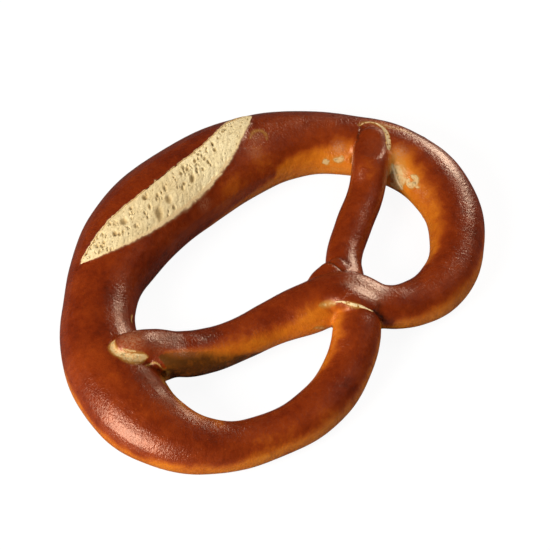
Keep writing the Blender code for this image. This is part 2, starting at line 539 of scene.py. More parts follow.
@dataclass(frozen=True)
class CrustFinish:
    """Lye crust: pale at the foot, golden on the flanks, red-brown to nearly black on the crown."""

    foot: Colour = (0.60, 0.22, 0.030)
    gold: Colour = (0.60, 0.165, 0.0080)
    amber: Colour = (0.41, 0.082, 0.0050)
    chestnut: Colour = (0.245, 0.032, 0.0030)
    deep: Colour = (0.160, 0.0165, 0.0017)
    darkest: Colour = (0.080, 0.0080, 0.0012)
    lip: Colour = (0.82, 0.60, 0.31)
    # Pale bloom, also used as a painted highlight
    bloom_and_sheen: Colour = (0.46, 0.23, 0.12)
    # Near-black painted shade in the creases
    shaded_crease: Colour = (0.025, 0.006, 0.002)
    # Dough colours for the seams; they also colour two painted glints beside the under arm
    cream_and_glint: Colour = (0.60, 0.42, 0.19)
    bright: Colour = (0.86, 0.70, 0.42)
    # Dark olive spots in the torn dough, drawn as pits
    pit_dark: Colour = (0.19, 0.12, 0.040)
    halo: Colour = (0.42, 0.20, 0.035)
    # Colour of the painted shadow on the flank under the over arm
    painted_shadow: Colour = (0.105, 0.033, 0.0045)
    glint: Colour = (1.0, 0.66, 0.38)
    # Strength of the broad and of the fine clouds of browning
    clouds: tuple[float, float] = (0.48, 0.34)
    # Distance between two pale specks in millimetres, and how pale they are
    speck_gap: float = 3.1
    speck_share: float = 0.35
    roughness: float = 0.27
    # How far the roughness strays below and above
    stray: tuple[float, float] = (0.05, 0.09)
    # How much rougher torn and dull places are, and the share of the coat that they lose
    rough_torn: float = 0.25
    rough_dull: float = 0.12
    bare: float = 0.8
    coat: float = 0.62
    coat_roughness: float = 0.27
    specular: float = 0.16

    def stops(self) -> list[tuple[float, Colour]]:
        """Colours of the stages of baking, in order."""
        colours = (self.foot, self.gold, self.amber, self.chestnut, self.deep, self.darkest)
        return [(stage.value, colour) for stage, colour in zip(BakeStage, colours)]

    def browning_and_shade(self, table: NodeTable, place: NodeSocket, mottle: NodeTree) -> NodeSocket:
        """Colour of the whole crust: stages of baking, pale specks, a floury bloom with some painted sheen,
        and a painted shadow on the flank under the over arm.

        Args:
            table: the material's nodes.
            place: where the patterns are read.
            mottle: the group of uneven browning.

        Returns:
            The colour's socket.
        """
        broad, fine = self.clouds
        uneven = table.node("ShaderNodeGroup", {"node_tree": mottle}, Vector=place, Broad=broad, Fine=fine)
        stage = table.math("ADD", table.mask("bake"), uneven.outputs["Value"], clamp=True)
        colour = table.ramp(stage, self.stops())
        speck = table.node("ShaderNodeTexVoronoi", {"feature": "F1"}, Vector=place,
                           Scale=1.0 / (self.speck_gap * MM))
        dots = table.times(table.span(speck.outputs["Distance"], 0.16, 0.07),
                           table.span(table.cloud(place, 9.0, 1.0), 0.50, 0.62))
        colour = table.mix(table.times(dots, self.speck_share), colour, self.amber)
        # Pale floury bloom, which at the crossing and beside the under arm is a painted highlight
        bloom_and_sheen_grain = table.span(table.cloud(place, 0.9, 2.0, 0.6), 0.30, 0.70)
        colour = table.mix(table.times(table.mask("bloom_and_sheen"), bloom_and_sheen_grain), colour, self.bloom_and_sheen)
        # Painted shadow on the flank under the over arm
        patches = table.span(table.cloud(place, 6.0, 3.0), 0.3, 0.5, 0.75, 1.0)
        return table.mix(table.times(table.mask("painted_shadow"), patches), colour, self.painted_shadow)

    def torn_and_glint(self, table: NodeTable, place: NodeSocket) -> tuple[NodeSocket, NodeSocket]:
        """Where the crust is torn, with a ragged edge, and the dough that shows there; the same mask also
        carries two painted highlights.

        Args:
            table: the material's nodes.
            place: where the patterns are read.

        Returns:
            The share's socket and the dough colour's socket.
        """
        cream_and_glint = table.mask("cream_and_glint")
        ragged = table.times(table.math("SUBTRACT", table.cloud(place, 1.8, 2.0, 0.5), 0.5), 0.5)
        share = table.times(table.span(table.plus(cream_and_glint, ragged), 0.42, 0.66), table.span(cream_and_glint, 0.0, 0.15))
        tint = table.span(table.cloud(place, 1.3, 2.0, 0.6), 0.46, 0.62, 0.0, 0.35)
        pits = table.times(table.span(table.cloud(place, 1.7, 3.0, 0.6), 0.53, 0.64, 0.0, 0.8),
                           table.span(cream_and_glint, 0.60, 0.90))
        dough = table.mix(pits, table.mix(tint, self.cream_and_glint, self.gold), self.pit_dark)
        return share, table.mix(table.span(cream_and_glint, 1.0, 1.2), dough, self.bright)

    def material(self, mottle: NodeTree, skin: NodeTree) -> Material:
        """Make the crust's material.

        Args:
            mottle: the group of uneven browning.
            skin: the group of wrinkles and bubbles.

        Returns:
            The material.
        """
        made, table, shader = new_material("lye_crust")
        place = table.node("ShaderNodeTexCoord").outputs["Object"]
        torn_and_glint, dough = self.torn_and_glint(table, place)
        halo = table.span(table.mask("cream_and_glint"), 0.04, 0.45, 0.0, 0.7)
        colour = table.mix(halo, self.browning_and_shade(table, place, mottle), self.halo)
        colour = table.mix(torn_and_glint, colour, dough)
        colour = table.mix(table.mask("lip"), colour, self.lip)
        # Painted shade in the creases
        colour = table.mix(table.mask("shaded_crease"), colour, self.shaded_crease)
        dull = table.mask("dull")
        patchy = table.span(table.cloud(place, 5.0, 3.0, 0.6), 0.3, 0.7, self.roughness - self.stray[0],
                            self.roughness + self.stray[1])
        matt = table.plus(table.times(torn_and_glint, self.rough_torn), table.times(dull, self.rough_dull))
        gloss = table.math("SUBTRACT", 1.0, table.times(dull, self.bare), clamp=True)
        gloss = table.times(gloss, table.math("SUBTRACT", 1.0, table.times(torn_and_glint, self.bare)))
        rope = table.node("ShaderNodeAttribute", {"attribute_name": "rope"}).outputs["Vector"]
        relief = table.node("ShaderNodeGroup", {"node_tree": skin}, Vector=place, Rope=rope)
        bump = table.node("ShaderNodeBump", Height=relief.outputs["Height"], Distance=MM, Strength=1.0)
        normal = bump.outputs["Normal"]
        table.fill(shader, Base_Color=colour, Roughness=table.plus(patchy, matt), Specular_Tint=self.glint,
                   Specular_IOR_Level=self.specular, Coat_Weight=table.times(gloss, self.coat),
                   Coat_Roughness=self.coat_roughness, Normal=normal, Coat_Normal=normal)
        return made


@dataclass(frozen=True)
class CrumbFinish:
    """Cream crumb of the split and of the torn rims."""

    name: str = "open_crumb"
    wall: Colour = (0.97, 0.82, 0.49)
    # Painted shade inside the pores
    pore_shade: Colour = (0.36, 0.235, 0.085)
    toast: Colour = (0.60, 0.42, 0.19)
    roughness: float = 0.85
    specular: float = 0.2
    relief: float = 0.8

    def material(self, crumb: NodeTree) -> Material:
        """Make the crumb's material.

        Args:
            crumb: the group of open crumb.

        Returns:
            The material.
        """
        made, table, shader = new_material(self.name)
        place = table.node("ShaderNodeTexCoord").outputs["Object"]
        body = table.node("ShaderNodeGroup", {"node_tree": crumb}, Vector=place, Pore=table.mask("pore_shade"),
                          Toast=table.mask("toast"), Wall_Colour=self.wall, Pore_Colour=self.pore_shade,
                          Toast_Colour=self.toast)
        bump = table.node("ShaderNodeBump", Height=body.outputs["Height"], Distance=MM, Strength=self.relief)
        table.fill(shader, Base_Color=body.outputs["Colour"], Roughness=self.roughness,
                   Specular_IOR_Level=self.specular, Normal=bump.outputs["Normal"])
        return made


# ---------------------------------------------------------------- the rope of dough


@dataclass
class Rope:
    """The rope from tip to tip, in millimetres: across, towards the lobes, centre height, half-width."""

    over_arm: tuple[Station, ...] = (
        (104.6, -15.6, 28.5, 3.4), (102.7, -13.6, 29.0, 7.2), (98.2, -9.2, 29.0, 9.3),
        (88.6, -2.0, 24.7, 11.3), (78.8, 7.5, 16.8, 13.7), (64.6, 15.6, 12.4, 13.4),
        (47.2, 23.6, 11.5, 12.8), (25.2, 31.2, 11.5, 13.8), (7.1, 41.2, 14.0, 15.7),
        (-12.2, 54.0, 17.5, 14.6), (-19.9, 72.1, 14.0, 13.6))
    left_lobe: tuple[Station, ...] = (
        (-35.6, 83.3, 10.5, 14.2), (-59.0, 87.2, 9.5, 15.4), (-89.5, 75.2, 9.5, 16.1),
        (-115.8, 45.8, 10.5, 18.6), (-123.0, 8.8, 11.0, 20.4))
    belly: tuple[Station, ...] = (
        (-111.3, -22.8, 11.5, 20.6), (-91.2, -47.2, 12.5, 23.0), (-57.0, -64.6, 14.5, 27.2),
        (-19.1, -72.1, 16.0, 28.8), (17.1, -73.2, 16.5, 28.4), (47.0, -66.8, 15.5, 25.2),
        (75.0, -53.8, 14.0, 21.0), (99.7, -32.0, 13.5, 21.8))
    right_lobe: tuple[Station, ...] = (
        (117.0, 0.0, 14.0, 23.6), (122.0, 30.2, 13.0, 20.5), (110.5, 58.5, 10.0, 15.7),
        (85.8, 76.8, 8.5, 13.4), (55.5, 85.8, 8.5, 13.8), (25.7, 82.0, 9.5, 13.5), (1.0, 70.4, 16.0, 13.4))
    under_arm: tuple[Station, ...] = (
        (-16.1, 51.3, 15.0, 11.5), (-26.0, 42.2, 12.8, 10.4), (-36.0, 33.2, 11.5, 10.5),
        (-60.7, 21.8, 12.3, 11.0), (-85.5, 12.1, 15.2, 10.8), (-99.4, 4.0, 22.5, 10.8),
        (-110.4, -3.5, 24.3, 10.4), (-116.4, -7.6, 23.5, 8.6), (-119.4, -9.7, 23.0, 4.6))
    webs: tuple[tuple[Station, ...], ...] = (
        ((-2.0, 38.0, 16.0, 5.5), (-8.1, 35.7, 17.6, 6.0), (-16.2, 37.4, 17.8, 8.0),
         (-25.0, 40.6, 16.5, 9.0)),
        ((-20.5, 79.5, 8.5, 5.0), (-14.0, 71.0, 10.0, 9.0)),
        ((4.0, 55.0, 9.0, 5.5), (-4.0, 60.0, 10.0, 9.0)),
        ((84.0, 12.2, 11.0, 4.0), (91.0, 6.0, 16.0, 9.0)),
        ((6.0, 44.0, 17.5, 6.0), (-2.5, 53.0, 23.5, 8.5), (-6.0, 62.0, 25.0, 8.5), (-10.5, 72.0, 20.0, 8.0)),
        ((96.0, 2.5, 24.5, 5.0), (88.8, 8.4, 23.5, 7.0), (80.2, 13.8, 19.5, 7.5), (68.0, 19.5, 14.5, 7.0)),
        ((-92.0, 12.5, 12.0, 5.0), (-101.0, 9.0, 19.5, 7.5), (-110.0, 4.0, 23.0, 7.0)))
    flatness: float = 0.78
    steps_along: int = 12
    steps_round: int = 10

    def stations(self) -> tuple[Station, ...]:
        """All stations from the over arm's tip to the under arm's tip."""
        return self.over_arm + self.left_lobe + self.belly + self.right_lobe + self.under_arm

    def add_strand(self, spline: Spline, stations: tuple[Station, ...]) -> None:
        """Lay one strand of dough through its stations.

        Args:
            spline: the Bezier spline to fill; it has one point or more.
            stations: the strand's stations.
        """
        spline.radius_interpolation = "CARDINAL"
        spline.bezier_points.add(len(stations) - len(spline.bezier_points))
        for point, (across, back, height, half_width) in zip(spline.bezier_points, stations):
            point.co = Vector((across, back, height / self.flatness)) * MM
            point.radius = half_width
            point.handle_left_type = "AUTO"
            point.handle_right_type = "AUTO"

    def build(self) -> Object:
        """Roll the rope and its webs as tubes, still lying through each other.

        Returns:
            The tubes as one mesh object.
        """
        deselect()
        bpy.ops.curve.primitive_bezier_curve_add(location=(0.0, 0.0, 0.0))
        rope = bpy.context.object
        curve = rope.data
        curve.dimensions = "3D"
        curve.bevel_depth = MM
        curve.bevel_resolution = self.steps_round
        curve.use_fill_caps = True
        curve.resolution_u = self.steps_along
        self.add_strand(curve.splines[0], self.stations())
        for web in self.webs:
            self.add_strand(curve.splines.new("BEZIER"), web)
        rope.scale = (1.0, 1.0, self.flatness)
        bpy.context.view_layer.update()
        take(rope)
        bpy.ops.object.convert(target="MESH")
        bpy.ops.object.transform_apply(location=True, rotation=True, scale=True)
        return bpy.context.object

    def coordinates(self, points: np.ndarray) -> np.ndarray:
        """Place of each point along and round the rope.

        Args:
            points: places in metres.

        Returns:
            Rows of distance along and distance round the rope, in metres, and 0.
        """
        line = smooth_line(np.array(self.stations()), 1.0)
        centre, reach = line[:, :3] * MM, line[:, 3] * MM
        tangent = np.gradient(centre, axis=0)
        tangent /= np.linalg.norm(tangent, axis=1)[:, None]
        along = np.concatenate([[0.0], np.cumsum(np.linalg.norm(np.diff(centre, axis=0), axis=1))])
        side = np.stack([tangent[:, 1], -tangent[:, 0], np.zeros(len(tangent))], axis=1)
        found = np.empty((len(points), 3))
        for start in range(0, len(points), 4000):
            part = points[start:start + 4000]
            away = np.linalg.norm(part[:, None, :] - centre[None], axis=2) / reach[None]
            best = away.argmin(axis=1)
            gap = part - centre[best]
            turn = np.arctan2(gap[:, 2] / self.flatness, (gap * side[best]).sum(axis=1))
            found[start:start + 4000, 0] = along[best] + (gap * tangent[best]).sum(axis=1)
            found[start:start + 4000, 1] = turn * reach[best]
            found[start:start + 4000, 2] = 0.0
        return found


@dataclass(frozen=True)
class SmallPores:
    """How the small pores of the crumb are drawn, in millimetres."""

    number: int = 230
    # Share of the slash's length that holds them
    reach: float = 0.94
    # Weights that draw them towards the outer and the inner lip
    weights: tuple[float, float] = (1.6, 2.2)
    # Least half-length, and the shape and scale of what is added to it
    half_length: tuple[float, float, float] = (0.38, 1.6, 0.38)
    # Least and greatest width over length
    slimness: tuple[float, float] = (0.35, 0.65)
    # Least depth, and what each millimetre of half-width adds to it
    depth: tuple[float, float] = (0.25, 0.75)
    # How far they stray from the direction of the tear, in radians
    stray: float = 0.4


@dataclass
class Split:
    """The slash along the crown of the belly, in millimetres."""

    # Across, then where the outer and the inner lip lie towards the lobes
    outline: tuple[Point, ...] = (
        (71.6, -71.4, -71.4), (69.6, -72.3, -69.7), (67.3, -73.2, -67.1), (64.5, -73.8, -64.9),
        (61.2, -74.5, -63.1), (56.6, -75.3, -60.7), (51.4, -76.0, -58.7), (44.8, -76.4, -56.3),
        (37.0, -76.3, -54.7), (28.8, -75.6, -53.3), (20.5, -74.8, -52.3), (11.2, -74.0, -51.5),
        (2.6, -73.7, -50.9), (-6.4, -73.5, -50.7), (-14.9, -73.2, -50.8), (-22.6, -73.2, -51.4),
        (-30.6, -73.1, -52.4), (-42.4, -73.7, -54.6), (-52.2, -75.4, -57.7), (-58.0, -76.8, -60.0),
        (-62.7, -77.8, -61.9), (-70.0, -78.2, -64.9), (-75.4, -77.4, -67.7), (-79.0, -75.8, -69.9),
        (-80.6, -74.2, -71.2), (-81.2, -72.6, -72.6))
    outer_waves: tuple[Wave, ...] = ((0.16, 0.53, 2.1), (0.12, 1.3, 0.0))
    inner_waves: tuple[Wave, ...] = ((0.14, 0.61, 0.4), (0.12, 1.5, 1.0))
    full_width: float = 12.0
    lip_height: float = 0.50
    lip_width: float = 2.6
    # Least height of a lip, and least upward part of its direction
    lip_floor: float = 15.0
    lip_facing: float = 0.1
    # Place towards the lobes behind which dough belongs to the inner lip
    ridge: float = -66.0
    depth: float = 2.6
    # Share of the depth that the cut keeps at the slash's ends
    end_depth: float = 0.35
    cutter_steps: tuple[int, int] = (150, 22)
    cutter_height: float = 30.0
    crumb_steps: tuple[int, int] = (520, 96)
    samples: int = 600
    seed: int = 11
    small_pores: SmallPores = SmallPores()
    # How far the crumb lies under the skin at a lip, and how much it rises beside the lip and in the middle
    lip_sink: float = 0.45
    lip_rise: float = 0.50
    middle_rise: float = 0.30
    lumps: tuple[Layer, ...] = ((0.34, 5.0, 0.0), (0.27, 1.9, 5.0), (0.13, 0.9, 9.0))
    # Length of the lumps along the tear, as a share
    pull: float = 0.42
    crumb_thickness: float = 1.6
    # Direction in which the dough tore, in the plan
    tear: tuple[float, float] = (0.777, 0.629)
    # How much longer, wider and deeper the larger pits are made than they are listed
    pit_growth: tuple[float, float, float] = (1.15, 1.2, 1.3)
    pit_stray: float = 0.3
    # Height and steepness of a pore's wall, as shares, and how far out it is worked out
    bowl: tuple[float, float, float] = (1.25, 1.1, 1.4)
    # Larger pits: across, towards the lobes, half-length along the tear, half-width, depth
    pits: tuple[tuple[float, ...], ...] = (
        (16.5, -70.5, 2.1, 1.6, 1.5), (36.9, -68.6, 2.5, 2.1, 1.1), (27.5, -71.6, 1.7, 1.1, 1.0),
        (18.4, -58.2, 4.4, 2.3, 1.1), (-13.4, -60.6, 3.4, 1.5, 1.2), (7.7, -60.3, 2.7, 1.8, 1.0),
        (-16.5, -67.0, 2.2, 1.0, 0.9), (-39.0, -65.2, 1.7, 1.1, 1.1), (-41.8, -69.4, 2.2, 0.9, 1.0),
        (-57.6, -73.1, 1.7, 1.1, 1.1), (-61.5, -75.6, 1.2, 0.8, 0.8), (-62.4, -72.0, 1.2, 0.8, 0.8),
        (-19.0, -62.0, 1.9, 0.9, 0.8), (3.9, -66.5, 2.3, 1.1, 0.9), (34.5, -61.7, 1.6, 1.1, 0.8),
        (-4.1, -59.9, 2.0, 1.0, 0.8), (-29.6, -64.9, 1.8, 0.8, 0.8), (8.8, -55.4, 1.5, 1.1, 0.7),
        (44.7, -64.7, 1.5, 1.0, 0.8), (54.2, -68.3, 1.5, 0.9, 0.9), (19.4, -64.4, 2.0, 1.0, 0.8),
        (12.5, -65.2, 1.7, 0.9, 0.8), (41.0, -72.0, 1.4, 0.9, 0.7), (-48.0, -70.5, 1.3, 0.7, 0.7))

    @property
    def middle(self) -> float:
        """Middle of the slash, across."""
        return (self.outline[0][0] + self.outline[-1][0]) / 2.0

    @property
    def half_length(self) -> float:
        """Half the slash's length."""
        return (self.outline[0][0] - self.outline[-1][0]) / 2.0

    @property
    def spread(self) -> np.ndarray:
        """Places across, from one end of the slash to the other."""
        return np.linspace(self.middle - self.half_length, self.middle + self.half_length, self.samples)

    def edges(self, across: np.ndarray) -> tuple[np.ndarray, np.ndarray, np.ndarray]:
        """The two lips.

        Args:
            across: places across, in millimetres.

        Returns:
            Where the outer and the inner lip lie towards the lobes, and how far the slash gapes, 0 to 1.
        """
        line = smooth_line(np.array(self.outline), 0.5)[::-1]
        outer, inner = (np.interp(across, line[:, 0], line[:, column]) for column in (1, 2))
        bow = np.clip((inner - outer) / self.full_width, 0.0, 1.0)
        outer = outer + bow * waved(across, self.outer_waves)
        inner = inner + bow * waved(across, self.inner_waves)
        return outer, inner, bow

    def inside(self, points: np.ndarray) -> tuple[np.ndarray, np.ndarray]:
        """How far points lie inside the slash, seen from above.

        Args:
            points: places in metres.

        Returns:
            Distance to the nearer lip in millimetres, below 0 outside, and the bow.
        """
        across, back = points[:, 0] / MM, points[:, 1] / MM
        outer, inner, bow = (np.interp(across, self.spread, edge) for edge in self.edges(self.spread))
        depth = np.minimum(back - outer, inner - back)
        beyond = np.maximum(np.abs(across - self.middle) - self.half_length, 0.0)
        tip = np.where(across > self.middle, self.outline[0][1], self.outline[-1][1])
        return np.where(beyond > 0.0, -np.hypot(beyond, back - tip), depth), bow

    def raise_lips(self, mesh: Mesh) -> None:
        """Turn the crust up along both lips.

        Args:
            mesh: the crust's mesh, before the slash is cut.
        """
        points, normals = read_points(mesh), read_normals(mesh)
        inside, bow = self.inside(points)
        fall = np.clip(1.0 + np.minimum(inside, 0.0) / self.lip_width, 0.0, 1.0)
        lift = self.lip_height * bow * fall ** 1.5
        lift *= (normals[:, 2] > self.lip_facing) & (points[:, 2] > self.lip_floor * MM)
        write_points(mesh, points + normals * (lift * MM)[:, None])

    def grid(self, name: str, steps: tuple[int, int], overlap: float) -> tuple[Object, np.ndarray]:
        """A flat grid over the slash.

        Args:
            name: the object's name.
            steps: number of squares along and across the slash.
            overlap: how far it reaches under the lips, in millimetres.

        Returns:
            The grid and its vertices' plan places in metres.
        """
        sheet, flat = flat_grid(name, steps)
        flat = flat + 0.5
        half = self.half_length + overlap
        across = self.middle - half + 2.0 * half * flat[:, 0]
        outer, inner, _ = self.edges(self.spread)
        low = np.interp(across, self.spread, outer) - overlap
        high = np.interp(across, self.spread, inner) + overlap
        back = low + (high - low) * flat[:, 1]
        return sheet, np.stack([across, back, np.zeros(len(across))], axis=1) * MM

    def drape(self, plan: np.ndarray, crust: BVHTree) -> tuple[np.ndarray, np.ndarray]:
        """Lay plan points on the crust from above.

        Args:
            plan: plan places in metres.
            crust: search tree over the crust.

        Returns:
            The places on the crust and the crust's normals there.
        """
        places, normals = np.empty_like(plan), np.empty_like(plan)
        down = Vector((0.0, 0.0, -1.0))
        for index, (across, back, _) in enumerate(plan):
            place, normal, _, _ = crust.ray_cast(Vector((across, back, 0.2)), down)
            places[index], normals[index] = place, normal
        return places, normals

    def cutter(self, crust: BVHTree) -> Object:
        """The block that cuts the slash out of the crust.

        Args:
            crust: search tree over the uncut crust.

        Returns:
            The block.
        """
        block, plan = self.grid("slash_cutter", self.cutter_steps, 0.0)
        places, normals = self.drape(plan, crust)
        _, bow = self.inside(plan)
        sink = self.depth * (self.end_depth + (1.0 - self.end_depth) * bow)
        write_points(block.data, places - normals * (sink * MM)[:, None])
        take(block)
        bpy.ops.object.mode_set(mode="EDIT")
        bpy.ops.mesh.select_all(action="SELECT")
        bpy.ops.mesh.remove_doubles(threshold=0.002 * MM)
        up = (0.0, 0.0, self.cutter_height * MM)
        bpy.ops.mesh.extrude_region_move(TRANSFORM_OT_translate={"value": up})
        bpy.ops.mesh.select_all(action="SELECT")
        bpy.ops.mesh.normals_make_consistent(inside=False)
        bpy.ops.object.mode_set(mode="OBJECT")
        return block

    def pores(self, plan: np.ndarray) -> np.ndarray:
        """Depth of the pores.

        Args:
            plan: plan places in metres.

        Returns:
            Depth in millimetres for each place.
        """
        dice = np.random.RandomState(self.seed)
        lean = math.atan2(-self.tear[0], self.tear[1])
        longer, wider, deeper = self.pit_growth
        holes = []
        for x, y, long, wide, deep in self.pits:
            turn = lean + dice.uniform(-self.pit_stray, self.pit_stray)
            holes.append((x, y, longer * long, wider * wide, deeper * deep, turn))
        small = self.small_pores
        for _ in range(small.number):
            across = self.middle + dice.uniform(-small.reach, small.reach) * self.half_length
            outer, inner, _ = self.edges(np.array([across]))
            back = outer[0] + (inner[0] - outer[0]) * dice.beta(*small.weights)
            long = small.half_length[0] + dice.gamma(*small.half_length[1:])
            wide = long * dice.uniform(*small.slimness)
            turn = lean + dice.uniform(-small.stray, small.stray)
            holes.append((across, back, long, wide, small.depth[0] + small.depth[1] * wide, turn))
        depth = np.zeros(len(plan))
        across, back = plan[:, 0] / MM, plan[:, 1] / MM
        brim, steepness, margin = self.bowl
        for x, y, long, wide, deep, turn in holes:
            near = np.nonzero((np.abs(across - x) < long * margin) & (np.abs(back - y) < long * margin))[0]
            dx, dy = across[near] - x, back[near] - y
            u = (dx * math.cos(turn) + dy * math.sin(turn)) / wide
            v = (dy * math.cos(turn) - dx * math.sin(turn)) / long
            depth[near] = np.maximum(depth[near], deep * ease(brim - np.hypot(u, v) * steepness))
        return depth

    def crumb(self, crust: BVHTree) -> Object:
        """The bread that shows in the slash.

        Args:
            crust: search tree over the uncut crust.

        Returns:
            The crumb as a closed shell.
        """
        sheet, plan = self.grid("split_crumb", self.crumb_steps, 1.0)
        places, normals = self.drape(plan, crust)
        inside, _ = self.inside(plan)
        rise = self.lip_rise * ease((inside + 0.2) / 0.8) + self.middle_rise * ease(inside / 6.0)
        along = plan[:, 0] * self.tear[0] + plan[:, 1] * self.tear[1]
        aside = plan[:, 1] * self.tear[0] - plan[:, 0] * self.tear[1]
        lumps = layered(np.stack([aside, self.pull * along, plan[:, 2]], axis=1), self.lumps)
        pores = self.pores(plan)
        height = rise - self.lip_sink + lumps * ease((inside - 0.3) / 1.8) - pores * ease(inside / 0.8)
        write_points(sheet.data, places + normals * (height * MM)[:, None])
        # Depth of the pores, which carries their painted shade
        write_mask(sheet.data, "pore_shade", np.clip(pores / 1.3, 0.0, 1.0) * 0.9)
        write_mask(sheet.data, "toast", self.toasted(plan, inside))
        close_sheet(sheet, self.crumb_thickness)
        return sheet

    def toasted(self, plan: np.ndarray, inside: np.ndarray) -> np.ndarray:
        """How much the crumb is mixed towards its toast colour: along its lips, and towards the right end.

        Args:
            plan: plan places in metres.
            inside: distance of each from the nearer lip, in millimetres.

        Returns:
            A share from 0 to 1 for each place.
        """
        inner_side = plan[:, 1] > self.ridge * MM
        toast = 0.08 * ease(1.0 - inside / 0.9) * inner_side + 0.12 * ease(1.0 - inside / 0.6)
        toast += 0.58 * ease((plan[:, 0] / MM + 28.0) / 30.0) * (0.7 + 0.3 * grain(plan, 9.0, 2.0))
        return np.clip(toast, 0.0, 1.0)


@dataclass
class LyeWash:
    """Where the lye wash ran to on the flanks: above it the crust bakes dark, below it golden."""

    # Across, towards the lobes, height of the wash's lower edge there, in millimetres
    edge: tuple[Point, ...] = (
        (-33.7, -42.1, 13.0), (-49.0, -39.3, 14.5), (-57.8, -37.3, 16.2), (-65.2, -37.1, 21.4),
        (-73.0, -35.7, 23.0), (-79.7, -33.4, 23.4), (-90.6, -26.7, 23.4), (-99.9, -18.8, 24.5),
        (-104.4, -14.8, 25.3), (-115.4, 9.1, 25.9), (-119.3, 17.9, 26.1), (-114.1, 29.1, 24.6),
        (-106.8, 43.2, 23.4), (-98.0, 55.4, 21.8), (-86.7, 64.9, 20.6), (-74.3, 72.4, 19.2),
        (-62.8, 75.0, 17.5), (-55.3, 73.7, 14.3), (-45.0, 70.0, 6.0), (-12.2, 82.8, 12.8),
        (-16.3, 86.5, 16.1), (-22.4, 90.2, 16.6), (-30.9, 94.4, 16.2), (-40.4, 98.0, 16.1),
        (-52.5, 99.7, 16.6), (-68.6, 98.8, 16.1), (-84.2, 93.6, 15.0), (-94.2, 88.1, 13.5),
        (-110.0, 77.0, 10.0), (-125.0, 62.0, 7.0), (-141.0, 30.0, 7.0), (-143.0, 0.0, 7.0),
        (-128.0, -35.0, 7.0), (-102.0, -66.0, 7.0), (-60.0, -92.0, 6.0), (0.0, -102.0, 6.0),
        (60.0, -94.0, 6.0), (100.0, -66.0, 8.0), (1.8, 54.4, 26.6), (6.6, 49.0, 26.2), (12.0, 46.3, 24.8),
        (17.7, 43.8, 23.1), (24.0, 41.8, 20.6), (29.5, 39.1, 19.3), (34.5, 36.1, 19.1), (44.7, 30.3, 20.1),
        (51.2, 28.5, 20.6), (57.9, 27.0, 21.5), (65.3, 26.2, 22.8), (74.4, 23.3, 25.9), (84.3, 17.8, 29.5),
        (90.3, 12.5, 31.1), (1.4, 64.0, 27.7), (3.8, 64.5, 25.3), (8.0, 67.8, 24.7), (13.1, 71.0, 23.5),
        (20.6, 75.5, 19.6), (29.1, 79.3, 17.4), (39.5, 81.9, 15.8), (47.6, 82.7, 14.8), (55.8, 82.3, 13.5),
        (66.0, 78.0, 12.0), (-5.8, 80.2, 19.2), (1.8, 85.3, 17.8), (11.2, 88.9, 16.6), (19.2, 92.3, 14.6),
        (27.8, 95.5, 13.5), (37.1, 97.1, 13.8), (47.6, 98.4, 13.3), (55.6, 97.8, 14.0), (64.7, 96.7, 13.7),
        (74.7, 93.8, 13.9), (84.1, 90.5, 13.1), (92.8, 86.7, 13.0), (100.0, 83.2, 13.4),
        (106.8, 79.3, 13.8), (112.5, 75.8, 13.4), (118.4, 71.3, 13.2), (126.3, 63.1, 14.6),
        (132.6, 54.8, 15.1), (137.4, 45.3, 15.6), (141.3, 34.8, 14.1), (143.2, 24.0, 15.6),
        (143.1, 12.7, 16.4), (140.9, 0.6, 16.0), (135.4, -15.2, 18.3), (130.0, -26.1, 17.9),
        (121.7, -38.8, 15.1), (112.0, -54.0, 11.0), (97.0, 12.0, 20.0), (100.1, 19.2, 19.3),
        (103.6, 25.2, 21.6), (107.9, 32.6, 24.4), (109.2, 39.2, 24.3), (108.6, 46.9, 23.1),
        (105.2, 54.3, 21.4), (93.9, 60.5, 16.5), (85.1, 66.9, 15.0), (76.0, 70.0, 12.0),
        (73.0, -30.0, 13.0), (60.0, -44.0, 8.0), (30.0, -44.0, 8.0), (0.0, -42.0, 9.0),
        (-20.0, -42.0, 11.0), (-30.0, 45.0, 12.0), (-50.0, 36.0, 9.0), (-75.0, 28.0, 8.0),
        (-95.0, 17.0, 16.0), (-77.8, 21.9, 15.0), (-67.4, 25.5, 13.5), (-58.5, 29.3, 13.0),
        (-42.7, 37.0, 12.0), (-40.0, 22.0, 7.0), (-70.0, 10.0, 7.0), (20.0, 20.0, 7.0), (50.0, 11.0, 7.0),
        (75.0, 1.0, 8.0))
    softness: float = 2.6
    waver: float = 0.55
    # Distance within which a row of the table counts fully, and how fast it loses weight beyond
    hold: float = 1.5
    falloff: int = 4

    def height(self, points: np.ndarray) -> np.ndarray:
        """Height of the wash's lower edge near each point.

        Args:
            points: places in metres.

        Returns:
            Height in millimetres for each point.
        """
        table = np.array(self.edge)
        plan = points[:, :2] / MM
        total, weight = np.zeros(len(points)), np.zeros(len(points))
        for across, back, height in table:
            share = 1.0 / (np.hypot(plan[:, 0] - across, plan[:, 1] - back) + self.hold) ** self.falloff
            total += share * height
            weight += share
        return total / weight

    def washed(self, points: np.ndarray) -> np.ndarray:
        """Share of wash on each point, 0 below its edge and 1 above.

        Args:
            points: places in metres.

        Returns:
            One number for each point.
        """
        waver = layered(points, ((self.waver, 9.0, 3.0), (0.5 * self.waver, 3.0, 7.0)))
        above = points[:, 2] / MM - self.height(points) - waver
        return ease(0.5 + above / (2.0 * self.softness))


